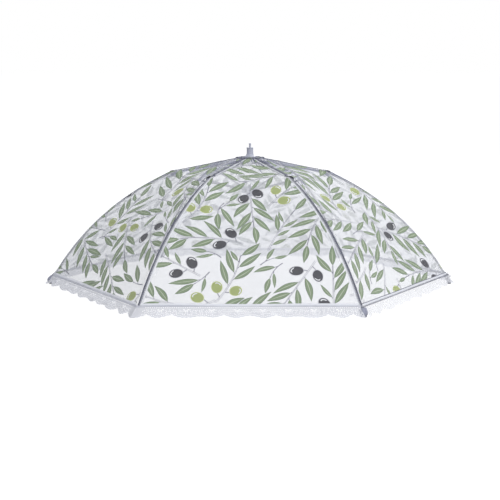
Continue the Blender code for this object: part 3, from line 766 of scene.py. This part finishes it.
def printed_shapes(gore):
    """Shapes printed on one gore, in the order they are drawn."""
    rng = random.Random(PRINT_SEEDS[gore - 1])
    ground = Ground()
    shapes, drawn = [], 0
    stretch = 1.0 if gore in PLAIN_GORES else SIDE_STRETCH
    half = float(width_at(NET_END)) / 2 / stretch
    downs = np.interp((-PRINT_MARGIN, NET_END + PRINT_MARGIN), STRETCH_DOWNS, PRINT_DOWNS)
    kinds = SPRIG_KINDS if gore in PLAIN_GORES else SIDE_SPRIG_KINDS
    for length, fewest, tries in SPRIG_ROUNDS:
        for _ in range(tries):
            start = Vector((rng.uniform(-half, half), rng.uniform(*downs)))
            if abs(start.x) * stretch > width_at(down_of(start.y)) / 2 + START_MARGIN:
                continue
            kind = kinds[drawn % len(kinds)]
            grown = sprig(ground, rng, start, length * rng.uniform(0.9, 1.1), kind, fewest)
            drawn += bool(grown)
            for name, outline in grown:
                laid = [Vector((p.x * stretch, down_of(p.y))) for p in outline]
                if any(is_on_gore(p) for p in laid):
                    shapes.append((name, laid))
    return shapes


# Net


def side_edge(side, inset=lambda down: 0.0, first=NET_TOP, last=NET_END):
    """Line beside a rib, from its upper to its lower end."""
    downs = np.linspace(first, last, max(2, round((last - first) / EDGE_STEP)) + 1)
    return [Vector((side * (float(width_at(d)) / 2 - inset(d)), d)) for d in downs]


def sheer_width(down):
    near_clip = math.exp(-(((down - CLIP_DOWN) / SHEER_REACH) ** 2))
    return min(SHEER_WIDTH + (SHEER_WIDTH_AT_CLIP - SHEER_WIDTH) * near_clip, float(width_at(down)) / 6)


def band_width(down):
    return min(SEAM_BAND_WIDTH, float(width_at(down)) / 4)


def gather_shade_width(down):
    """Width of the net gathered on a rib's inner length, from the crown to the clip, which is painted with
    grey shade.
    """
    share = max(0.0, 1 - down / CLIP_DOWN)
    return min(GATHER_SHADE_WIDTH * (0.55 + 0.45 * share), float(width_at(down)) / 3)


def creases(gore):
    """Strips on a gore: painted shade along its pleats, where its cloth is drawn together and in the crease
    from clip to clip, and the slack folds of a plain gore.
    """
    shapes = []
    for side in (-1, 1):
        for first, last, inset_first, inset_last in PLEATS:
            path, widths = [], []
            for along in np.linspace(0, 1, 9):
                down = first + (last - first) * along
                inset = inset_first + (inset_last - inset_first) * along
                path.append(Vector((side * (width_at(down) / 2 - inset), down)))
                widths.append(PLEAT_SHADE_WIDTH * float(swell(along)) + PLEAT_SHADE_EDGE)
            # each pleat gets a strip of painted shade; at the clips of plain gores, the paler crease shade
            is_at_clip = first > CLIP_DOWN / 2
            kind = "crease_shade" if gore in PLAIN_GORES and is_at_clip else "pleat_shade"
            shapes.append((kind, ribbon(path, widths)))
        if gore in PLAIN_GORES:
            downs = np.linspace(CLIP_DOWN + SLACK_FOLD_ENDS[0], NET_END - SLACK_FOLD_ENDS[1], CREASE_POINTS)
            path = [Vector((side * (width_at(d) / 2 - SLACK_FOLD[0]), d)) for d in downs]
            swells = [math.sin(math.pi * i / (CREASE_POINTS - 1)) for i in range(CREASE_POINTS)]
            widths = [SLACK_FOLD[1] * (0.25 + 0.75 * s**2) for s in swells]
            shapes.append(("band", ribbon(path, widths)))
        else:
            for inset, length in SHADES:
                downs = np.linspace(NET_TOP + SHADE_TOP, length, CREASE_POINTS)
                path = [Vector((side * (width_at(d) / 2 * (1 - inset)), d)) for d in downs]
                swells = [math.sin(math.pi * (i + 1) / (CREASE_POINTS + 1)) for i in range(CREASE_POINTS)]
                widths = [SHADE_EDGE + SHADE_SHARE * float(width_at(d)) * s for d, s in zip(downs, swells)]
                shapes.insert(0, ("shade", ribbon(path, widths)))
    # the crease from clip to clip is only a strip of painted shade
    path = []
    for share in np.linspace(0.03, 0.97, 17):
        down = CLIP_DOWN - SHOULDER_RISE * math.sin(math.pi * share)
        path.append(Vector((float(width_at(down)) * (share - 0.5), down)))
    shapes.append(("crease_shade", ribbon(path, [SHOULDER_SHADE_WIDTH] * len(path))))
    return shapes


def net_flat(gore):
    """Flat triangles of a gore, with the side that each lies on and the name of its material."""
    middle = [Vector((0.0, d)) for d in np.linspace(NET_TOP, NET_END, round(NET_END / GRID))]
    outlines = [side_edge(side) + middle[::-1] for side in (-1, 1)]
    names = ["net", "net"]
    for name, outline in creases(gore) + printed_shapes(gore):
        names.append(name)
        outlines.append(outline)
    hem_top = NET_END - HEM_BAND
    # the hems of SHADED_HEMS carry painted shade on their inner side
    names.append("hem_shaded" if gore in SHADED_HEMS else "hem")
    outlines.append(side_edge(-1, first=hem_top) + side_edge(1, first=hem_top)[::-1])
    for side in (-1, 1):
        if gore in BANDED_GORES:
            names.append("band")
            outlines.append(side_edge(side) + side_edge(side, band_width)[::-1])
        # gathered net beside each rib, more opaque and painted with shade
        names.append("gathered_shade")
        end = CLIP_DOWN - CLIP_PLEAT_START
        outlines.append(side_edge(side, last=end) + side_edge(side, gather_shade_width, last=end)[::-1])
        names.append("sheer")
        outlines.append(side_edge(side, first=end) + side_edge(side, sheer_width, first=end)[::-1])
    loose = []
    for row, down in enumerate(np.arange(NET_TOP + GRID, NET_END - GRID / 2, GRID)):
        half = float(width_at(down)) / 2 - GRID / 3
        for across in np.arange(-math.floor(half / GRID) * GRID + 0.5 * GRID * (row % 2), half, GRID):
            loose.append(Vector((across, down)))
    flat, triangles, inside = triangles_of(outlines, loose)
    sides = np.array([-1 if 0 in covers else 1 if 1 in covers else 0 for covers in inside])
    return flat, triangles, sides, [names[max(covers, default=0)] for covers in inside]


def halves(gore):
    """(side, name of the side, number of the rib that it follows) of each half of a gore."""
    return ((-1, "left", gore), (1, "right", gore % RIB_COUNT + 1))


def folds_with(piece, rib):
    """The piece rides on a rib, with a mesh of its own, as the cover folds."""
    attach(piece, f"rib_{rib}")
    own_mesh(piece)


def build_net():
    outer, inner = net_materials()
    names = list(outer)
    finishes = [*outer.values(), *inner.values()]
    for gore in range(1, RIB_COUNT + 1):
        flat, triangles, sides, slots = net_flat(gore)
        numbers = np.array([names.index(s) for s in slots])
        for side, label, rib in halves(gore):
            chosen, own = triangles[sides == side], numbers[sides == side]
            both, lay = (own, own + len(names)), partial(on_net, gore)
            piece = sheet_object(f"net_{gore}_{label}", flat, chosen, both, finishes, lay, NET_THICKNESS)
            folds_with(piece, rib)
            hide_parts(f"canopy_panel_{gore}")


# Lace

FACE_AWAY, FACE_UP = (float(v) for v in out_of_gore(NET_END))
LACE_DEPTH = (float(LINE_HEIGHTS[-1]) - LACE_TABLE_GAP) / FACE_AWAY
LACE_WIDTH = float(width_at(NET_END))
SCALLOP = LACE_WIDTH / SCALLOPS
# (pitch, radius, thread between) of rows of holes
HEADING_HOLES = (0.0031, 0.0010, 0.0004)
EDGING_HOLES = (0.0028, 0.0008, 0.0005)
GROUND_HOLES = (0.0026, 0.00085, 0.0005)
ROW_PITCH = 0.87  # of the pitch
HEADING_DEPTH = 0.0024
EDGING_INSET = 0.0023
GROUND_DEPTH = 0.0040
GROUND_WANDER = 0.16  # of the pitch
FAN_DEPTH = 0.0044
FAN_HEART = 0.0011
FAN_TURNS = (-1.2, -0.6, 0.0, 0.6, 1.2)
PETAL_LENGTH = 0.0046
PETAL_WIDTH = 0.0016
PETAL_SPOT = 0.0007
PETAL_THREAD = 0.0001
HOLE_MARGINS = (0.0004, 0.0010, 0.0008)  # from the lace's middle, and its upper and lower edge
LACE_END = 0.0008  # without holes, where the lace stops short of a tip


def lace_edge(across):
    """Depth of the lace's lower edge."""
    share = (across + LACE_WIDTH / 2) / SCALLOP + 0.5
    broad = abs(math.sin(math.pi * share)) ** 0.7
    picot = abs(math.sin(math.pi * share * PICOTS))
    uneven = 1 + 0.35 * math.sin(2.4 * share) + 0.25 * math.sin(5.7 * share + 1)
    wear = WORN_EDGE * (1 + math.sin(across / 0.0043)) * (1 + math.sin(across / 0.0101 + 2)) / 4
    lost = SCALLOP_DEPTH * (1 - broad) * uneven + PICOT_DEPTH * (1 - picot) + wear
    return LACE_DEPTH - lost * float(eased((LACE_WIDTH / 2 - abs(across)) / TIP_COVER_WIDTH))


def petal(base, angle, length, width):
    along = pointing(angle)
    side = Vector((-along.y, along.x))
    shares, widths = (0.3, 0.65, 0.9), (0.62, 1.0, 0.6)
    left = [base + along * length * s + side * width * w / 2 for s, w in zip(shares, widths)]
    right = [base + along * length * s - side * width * w / 2 for s, w in zip(shares, widths)]
    return [base, *left, base + along * length, *right[::-1]]


def lace_holes(last, limit):
    """Openings of the lace from its middle to its end: a heading, fans, an edging and a ground of net."""
    ground = Ground()
    rng = random.Random(7)
    holes = []

    def cut(outline, spots, thread):
        middle, top, bottom = HOLE_MARGINS
        within = all(middle < p.x < limit for p in outline)
        clear = all(top < p.y < lace_edge(p.x) - bottom for p in outline)
        spots = np.array([(*c, r) for c, r in spots])
        if within and clear and ground.is_free(spots, thread):
            ground.take(spots)
            holes.append(outline)

    def cut_row(pitch, radius, thread, depth_at):
        count = round(last / pitch)
        for i in range(count):
            across = (i + 0.5) * last / count
            spot = Vector((across, depth_at(across)))
            cut(circle(spot, radius, 6), [(spot, radius)], thread)

    cut_row(*HEADING_HOLES, lambda across: HEADING_DEPTH)
    for i in range(SCALLOPS + 1):
        heart = Vector((LACE_WIDTH / 2 - i * SCALLOP, FAN_DEPTH))
        for turn in FAN_TURNS:
            along = pointing(math.pi / 2 + turn)
            base = heart + FAN_HEART * along
            spots = [(base + along * PETAL_LENGTH * s, PETAL_SPOT) for s in (0.45, 0.7)]
            cut(petal(base, math.pi / 2 + turn, PETAL_LENGTH, PETAL_WIDTH), spots, PETAL_THREAD)
    cut_row(*EDGING_HOLES, lambda across: lace_edge(across) - EDGING_INSET)
    pitch, radius, thread = GROUND_HOLES
    for row in range(math.ceil(LACE_DEPTH / (pitch * ROW_PITCH))):
        for column in range(math.ceil(last / pitch) + 1):
            spot = Vector(((column + 0.5 * (row % 2)) * pitch, GROUND_DEPTH + row * pitch * ROW_PITCH))
            spot += Vector((rng.uniform(-1, 1), rng.uniform(-1, 1))) * pitch * GROUND_WANDER
            cut(circle(spot, radius, 6, turn=0.5), [(spot, radius)], thread)
    return holes


def lace_flat(is_long):
    """Flat triangles of half a strip of lace, from its middle to its rib or short of the rib's tip."""
    last = LACE_WIDTH / 2 - (0.0 if is_long else TIP_MARGIN)
    lower = [Vector((a, lace_edge(a))) for a in np.linspace(0, last, round(last / 0.0007))]
    upper = [Vector((a, 0.0)) for a in np.linspace(0, last, round(last / 0.004))]
    limit = last - (TIP_COVER_WIDTH if is_long else LACE_END)
    flat, triangles, inside = triangles_of([upper + lower[::-1], *lace_holes(last, limit)])
    return flat, triangles[[list(covers) == [0] for covers in inside]]


def on_lace(gore, across, depth, rise):
    """Points of the lace: it hangs from the hem, ripples, and stands out over the tips that it passes."""
    share = depth / LACE_DEPTH
    ripple = np.sin(2 * math.pi * across / (SCALLOP * 1.37) + gore) + 0.5 * np.sin(across / 0.0071 + 2 * gore)
    lift = LACE_RIPPLE * eased(share) * ripple * eased((LACE_WIDTH / 2 - np.abs(across)) / 0.02)
    for side, _, rib in halves(gore):
        if rib in LACED_TIPS:
            near = np.exp(-(((LACE_WIDTH / 2 - side * across) / TIP_COVER_WIDTH) ** 2))
            lift = lift + TIP_COVER * near * eased(share * 2.5)
    lift = lift + LACE_FLARE * share**2
    away = float(LINE_RADII[-1]) * math.cos(HALF_GORE) + depth * FACE_UP + lift + rise * FACE_AWAY
    height = float(LINE_HEIGHTS[-1]) - depth * FACE_AWAY + rise * FACE_UP
    half_width = away * math.tan(HALF_GORE)
    return in_gore(gore, away, across / (LACE_WIDTH / 2) * half_width, height)


def build_lace():
    full = cloth("lace", LACE, 0.82, pitch=0.0007, strength=0.8, through=0.35)
    sheer = cloth("lace_sheer", LACE, 0.40, pitch=0.0007, strength=0.8)
    flats = {is_long: lace_flat(is_long) for is_long in (True, False)}
    for gore in range(1, RIB_COUNT + 1):
        for side, label, rib in halves(gore):
            flat, triangles = flats[rib in LACED_TIPS]
            own, chosen = flat * (side, 1), triangles[:, ::side]
            slots = (np.zeros(len(chosen), int),) * 2
            finish, lay = sheer if gore in PAINTED_SHADE_HEMS else full, partial(on_lace, gore)
            piece = sheet_object(f"lace_{gore}_{label}", own, chosen, slots, [finish], lay, LACE_THICKNESS)
            folds_with(piece, rib)
            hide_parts(f"lace_{gore}")


# Cloth bunched round the tips that the lace leaves free

BUNCH_STEPS = 14
BUNCH_SIDES = 40
# (height above the foot, radius), from the top down
BUNCH_PROFILE = (
    (0.0136, 0.0044),
    (0.0128, 0.0052),
    (0.0100, 0.0056),
    (0.0070, 0.0058),
    (0.0044, 0.0054),
    (0.0030, 0.0046),
)
BUNCH_BORE = 0.0042
BUNCH_FOLDS = 7
BUNCH_FOLD_DEPTH = 0.00045
BUNCH_UV_STEP = 0.0008
WIDE_BUNCHES = {4: 1.6}  # how much wider than the others at the lower end, by rib
BARE_TIPS = (1,)


def rib_axes(rib):
    """Unit directions out along a rib, beside it and up."""
    turn = TURN * (rib - 1)
    beside = Vector((-math.sin(turn), math.cos(turn), 0))
    return Vector((math.cos(turn), math.sin(turn), 0)), beside, Vector((0, 0, 1))


def bunch_ring(rib, height, radius, wrinkle):
    """Points round a rib's end, so high above the foot along it."""
    dip = BOW_CHORD_DIP + BOW_HALF_SWEEP - height / BOW_RADIUS
    centre = BOW_CENTRE + BOW_RADIUS * upward(dip)
    out, beside, up = rib_axes(rib)
    over = out * math.sin(dip) + up * math.cos(dip)
    middle = out * centre.x + up * centre.y
    points = []
    for k in range(BUNCH_SIDES):
        angle = 2 * math.pi * k / BUNCH_SIDES
        fold = math.sin(BUNCH_FOLDS * angle + 60 * height + rib) + 0.6 * math.sin(11 * angle - 140 * height)
        reach = radius + wrinkle * fold
        point = middle + reach * (math.cos(angle) * over + math.sin(angle) * beside)
        point.z = max(point.z, LACE_TABLE_GAP)
        points.append(point)
    return points


def build_bunches():
    finish = cloth("bunched_net", BUNCH_GREY, 0.97, pitch=0.0008)
    heights, radii = zip(*BUNCH_PROFILE)
    levels = np.linspace(heights[0], heights[-1], BUNCH_STEPS).tolist()
    outer = np.interp(levels, heights[::-1], radii[::-1]).tolist()
    for rib in range(1, RIB_COUNT + 1):
        if rib in LACED_TIPS + BARE_TIPS:
            continue
        wider = WIDE_BUNCHES.get(rib, 1.0)
        widths = [r * (1 + (wider - 1) * (1 - h / heights[0])) for h, r in zip(levels, outer)]
        rings = [bunch_ring(rib, h, w, BUNCH_FOLD_DEPTH) for h, w in zip(levels, widths)]
        rings += [bunch_ring(rib, h, BUNCH_BORE, 0.0) for h in levels[::-1]]
        vertices = [p for ring in rings for p in ring]
        faces = []
        for i in range(len(rings)):
            for k in range(BUNCH_SIDES):
                this, following = i * BUNCH_SIDES, (i + 1) % len(rings) * BUNCH_SIDES
                turn = (k + 1) % BUNCH_SIDES
                faces.append((this + k, this + turn, following + turn, following + k))
        piece = mesh_object(f"tip_bunch_{rib}", vertices, faces, [finish])
        uv = piece.data.uv_layers.new(name="cloth")
        for loop, corner in zip(piece.data.loops, uv.data):
            along, around = divmod(loop.vertex_index, BUNCH_SIDES)
            corner.uv = (around * BUNCH_UV_STEP, along * BUNCH_UV_STEP)
        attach(piece, f"rib_{rib}")


# Patch on the crown


def on_patch(gore, across, down, rise):
    """Points of the patch, which lies on the net and reaches in under the cap."""
    return on_net(gore, across, down, NET_THICKNESS + PATCH_LIFT * eased(down / PATCH_DOWN) + rise)


def build_patch():
    """Patch as one piece for each half gore, so that it folds with the net."""
    finish = cloth("crown_patch", PATCH_GREY, 0.62, pitch=0.0008)
    downs = np.linspace(NET_TOP, PATCH_DOWN, PATCH_STEPS + 1)
    half = float(width_at(PATCH_DOWN)) / 2
    for gore in range(1, RIB_COUNT + 1):
        for side, label, rib in halves(gore):
            edge = [Vector((side * float(width_at(d)) / 2, d)) for d in downs]
            lower = [Vector((side * half * i / PATCH_STEPS, PATCH_DOWN)) for i in range(PATCH_STEPS)]
            flat, triangles, _ = triangles_of([[Vector((0.0, NET_TOP)), *edge, *lower[::-1]]])
            slots, lay = (np.zeros(len(triangles), int),) * 2, partial(on_patch, gore)
            name = f"crown_patch_{gore}_{label}"
            piece = sheet_object(name, flat, triangles, slots, [finish], lay, NET_THICKNESS)
            folds_with(piece, rib)


# Threads: hem cords, hem stitches, seam stitches and the ties on the clips

TIE_DIP = 0.28  # of the rib at the bend
TIE_DROP = -0.0016  # of the loops' middle from the rib's
TIE_LOOPS = 6
TIE_PITCH = 0.0010
TIE_STEPS = 20
TIE_HALF_HEIGHT = 0.0047
TIE_HALF_WIDTH = 0.0035
TIE_RADIUS = 0.0005
# thicker cord of grey thread, which paints a hem's shade
PAINTED_SHADE_CORD = 0.00048
PALE_CORD = 0.00034
CORD_INSET = 0.0006  # of the hem cord's upper thread from the net's edge
LACE_SEAM = 0.0014  # down the lace
THREAD_LIFT = 0.0001
SEAM_START = 0.030  # down the net
STITCH_MARKS = (0.0, 0.42, 0.84)  # of the pitch
STITCH_ARCH = (0.0, 0.0002, 0.0)
STITCH_RADIUS = 0.0004
PATCH_EDGE_INSET = 0.0008
PATCH_EDGE_LIFT = 0.0002


def thread_object(name, runs, radius, finish, sides=6):
    """Round threads along runs of points."""
    vertices, faces = [], []
    for run in runs:
        run = [Vector(p) for p in run]
        start = len(vertices)
        for i, point in enumerate(run):
            before, after = run[max(i - 1, 0)], run[min(i + 1, len(run) - 1)]
            along = (after - before).normalized()
            first = along.cross(Vector((0, 0, 1))).normalized()
            second = along.cross(first)
            for k in range(sides):
                angle = 2 * math.pi * k / sides
                vertices.append(point + radius * (math.cos(angle) * first + math.sin(angle) * second))
        for i in range(len(run) - 1):
            for k in range(sides):
                a, b = start + i * sides + k, start + i * sides + (k + 1) % sides
                faces.append((b, a, a + sides, b + sides))
        faces.append(tuple(start + k for k in range(sides)))
        faces.append(tuple(len(vertices) - 1 - k for k in range(sides)))
    return mesh_object(name, vertices, faces, [finish])


def build_clip_ties():
    """Black thread that ties the net to each clip."""
    finish = solid("tie_thread", CLIP_BLACK, 0.6, 2500.0, amount=0.2, specular=0.3)
    for rib in range(1, RIB_COUNT + 1):
        out, beside, up = rib_axes(rib)
        over = out * math.sin(TIE_DIP) + up * math.cos(TIE_DIP)
        along = out * math.cos(TIE_DIP) - up * math.sin(TIE_DIP)
        middle = out * BEND.x + up * BEND.y + TIE_DROP * over
        angles = [2 * math.pi * k / TIE_STEPS for k in range(TIE_STEPS + 1)]
        ring = [TIE_HALF_HEIGHT * math.cos(a) * over + TIE_HALF_WIDTH * math.sin(a) * beside for a in angles]
        centres = [middle + along * TIE_PITCH * (i - (TIE_LOOPS - 1) / 2) for i in range(TIE_LOOPS)]
        piece = thread_object(f"clip_tie_{rib}", [[c + p for p in ring] for c in centres], TIE_RADIUS, finish)
        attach(piece, f"rib_{rib}")


def build_threads():
    pale = solid("thread", THREAD, 0.7, 2500.0, amount=0.12)
    grey_and_shade = solid("thread_grey_and_shade", THREAD_GREY_AND_SHADE, 0.7, 2500.0, amount=0.12)
    for gore in range(1, RIB_COUNT + 1):
        # grey cords on some gores paint the shade of their hems
        finish, cord = (grey_and_shade, PAINTED_SHADE_CORD) if gore in PAINTED_SHADE_CORDS else (pale, PALE_CORD)
        for side, label, rib in halves(gore):
            across = side * np.linspace(0, LACE_WIDTH / 2, round(LACE_WIDTH / 2 / HEM_STITCH) + 1)
            over = NET_THICKNESS + THREAD_LIFT
            upper = on_net(gore, across, NET_END - CORD_INSET, over)
            top = on_net(gore, across, NET_END - HEM_LINE, over) if gore in PAINTED_SHADE_HEMS else upper
            lower = on_lace(gore, across, LACE_SEAM, LACE_THICKNESS + THREAD_LIFT)
            zigzag = np.where((np.arange(len(across)) % 2)[:, None], upper, lower)
            made = [
                thread_object(f"hem_cord_{gore}_{label}", [top, lower], cord, finish),
                thread_object(f"hem_stitch_{gore}_{label}", [zigzag], cord / 2, finish, 5),
            ]
            if gore in BANDED_GORES:
                runs = []
                for down in np.arange(SEAM_START, NET_END - SEAM_STITCH, SEAM_STITCH):
                    downs = down + SEAM_STITCH * np.array(STITCH_MARKS)
                    beside = side * (width_at(downs) / 2 - SEAM_LINE)
                    runs.append(on_net(gore, beside, downs, NET_THICKNESS + np.array(STITCH_ARCH)))
                made.append(thread_object(f"seam_stitches_{gore}_{label}", runs, STITCH_RADIUS, grey_and_shade, 5))
            across = side * width_at(PATCH_DOWN) / 2 * np.linspace(0, 1, 9)
            edge = on_patch(gore, across, PATCH_DOWN - PATCH_EDGE_INSET, NET_THICKNESS + PATCH_EDGE_LIFT)
            made.append(thread_object(f"patch_edge_{gore}_{label}", [edge], STITCH_RADIUS, grey_and_shade, 6))
            for piece in made:
                folds_with(piece, rib)


# Threads that have come loose where the hem ends at a bare tip

FRAYS = 16
FRAY_LENGTH = 0.0085
FRAY_RADIUS = 0.00022
FRAY_SPREAD = (0.0025, 0.006)  # to each side of the corner, and down from it


def build_frays():
    finish = solid("frayed_thread", FRAY_GREY, 0.7, 2500.0, amount=0.12)
    rng = random.Random(3)
    for rib in BARE_TIPS:
        out, beside, up = rib_axes(rib)
        corner = out * float(LINE_RADII[-1]) + up * float(LINE_HEIGHTS[-1])
        runs = []
        for _ in range(FRAYS):
            start = corner + FRAY_SPREAD[0] * rng.uniform(-1, 1) * beside - FRAY_SPREAD[1] * rng.random() * up
            course = out * rng.uniform(0.1, 1) + beside * rng.uniform(-1, 1) + up * rng.uniform(-0.6, 1)
            course.normalize()
            drop = -rng.uniform(0.1, 0.5) * up
            length = FRAY_LENGTH * rng.uniform(0.5, 1)
            run = [start + length * s * (course + drop * s) for s in (0, 0.25, 0.5, 0.75, 1)]
            runs.append([Vector((*p.xy, max(p.z, LACE_TABLE_GAP))) for p in run])
        piece = thread_object(f"frayed_hem_{rib}", runs, FRAY_RADIUS, finish, 4)
        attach(piece, f"rib_{rib}")


# Finishes of the CAD's own pieces


def dress_cad():
    hub = solid("hub_plastic_fine", HUB_GREY, 0.42, 900.0)
    wire = solid("tie_wire_fine", STEEL, 0.32, 1400.0, 1.0, 0.12)
    finishes = {
        "crown_hub": hub,
        "runner_hub": hub,
        "crown_ring": wire,
        "runner_ring": wire,
        "clip_pin": wire,
        "centre_pin": solid("centre_pin_fine", CAP_GREY, 0.38, 900.0),
        "top_cap": solid("cap_plastic_fine", CAP_GREY, 0.40, 900.0),
        "rib_tip": solid("tip_plastic_fine", TIP_GREY, 0.48, 900.0),
        "rib_clip": solid("clip_fine", CLIP_BLACK, 0.55, 900.0, amount=0.2, specular=0.3),
        "stretcher": solid("stretcher_fine", STRETCHER_STEEL, 0.40, 1400.0, 0.8, 0.12),
        "rib": solid("rib_fine", RIB_STEEL, 0.62, 1400.0, amount=0.12, specular=0.15),
    }
    for name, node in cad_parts.items():
        kind = name.rstrip("0123456789").rstrip("_")
        if kind in finishes:
            for slot in node.material_slots:
                slot.material = finishes[kind]


# Stage, light and camera

FLOOR_REACH = 30.0
FLOOR_HEIGHT = -0.0002
FLOOR_GLOW = 0.86  # to the camera, beside what it reflects
WORLD_LIGHT = 0.50
# (name, place, width, watts)
LAMPS = (
    ("key", (1.32, -2.11, 1.8), 1.4, 43),
    ("back", (0.8, 2.0, 1.5), 1.6, 18),
    ("top", (0.3, 0.3, 2.2), 1.6, 10),
)


def build_stage():
    mesh = bpy.data.meshes.new("floor")
    signs = ((-1, -1), (1, -1), (1, 1), (-1, 1))
    corners = [(x * FLOOR_REACH, y * FLOOR_REACH, FLOOR_HEIGHT) for x, y in signs]
    mesh.from_pydata(corners, [], [(0, 1, 2, 3)])
    linked("floor", mesh)
    made, tree, shader = new_material("floor_white")
    tree.nodes.remove(shader)
    matt = add(tree, "BsdfDiffuse", Color=(0.82, 0.82, 0.83, 1)).outputs[0]
    both = add(tree, "AddShader")
    join(add(tree, "BsdfDiffuse", Color=(0.30, 0.30, 0.31, 1)).outputs[0], both.inputs[0])
    join(add(tree, "Emission", Color=(1, 1, 1, 1), Strength=FLOOR_GLOW).outputs[0], both.inputs[1])
    seen = add(tree, "LightPath").outputs["Is Camera Ray"]
    join(mixed(tree, seen, matt, both.outputs[0]), tree.nodes["Material Output"].inputs[0])
    mesh.materials.append(made)


def build_world():
    world = bpy.data.worlds.new("studio")
    bpy.context.scene.world = world
    world.use_nodes = True
    tree = world.node_tree
    lit = put(tree.nodes["Background"], Color=(0.96, 0.97, 1.0, 1), Strength=WORLD_LIGHT).outputs[0]
    shown = add(tree, "Background", Color=(1, 1, 1, 1), Strength=1.0).outputs[0]
    rays = add(tree, "LightPath").outputs
    seen = rays["Is Camera Ray"]
    for name in ("Is Glossy Ray", "Is Transmission Ray"):
        either = add(tree, "Math", operation="MAXIMUM")
        join(seen, either.inputs[0])
        join(rays[name], either.inputs[1])
        seen = either.outputs[0]
    join(mixed(tree, seen, lit, shown), tree.nodes["World Output"].inputs[0])


def add_lamp(name, place, size, energy):
    lamp = bpy.data.lights.new(name, "AREA")
    lamp.shape = "DISK"
    lamp.size = size
    lamp.energy = energy
    made = linked(name, lamp)
    made.location = place
    made.rotation_euler = (CAMERA_AIM - Vector(place)).to_track_quat("-Z", "Y").to_euler()


def build_camera():
    lens = bpy.data.cameras.new("camera")
    lens.sensor_width = SENSOR
    lens.lens = FOCAL_PIXELS / FRAME_PIXELS * SENSOR
    camera = linked("camera", lens)
    away = Vector((0, -math.cos(CAMERA_RISE), math.sin(CAMERA_RISE)))
    camera.location = CAMERA_AIM + CAMERA_DISTANCE * away
    camera.rotation_euler = (-away).to_track_quat("-Z", "Y").to_euler()
    bpy.context.scene.camera = camera
    bpy.context.scene.view_settings.view_transform = "Standard"


build_camera()
build_stage()
build_world()
for lamp in LAMPS:
    add_lamp(*lamp)
dress_cad()
build_net()
build_lace()
build_bunches()
build_patch()
build_threads()
build_clip_ties()
build_frays()
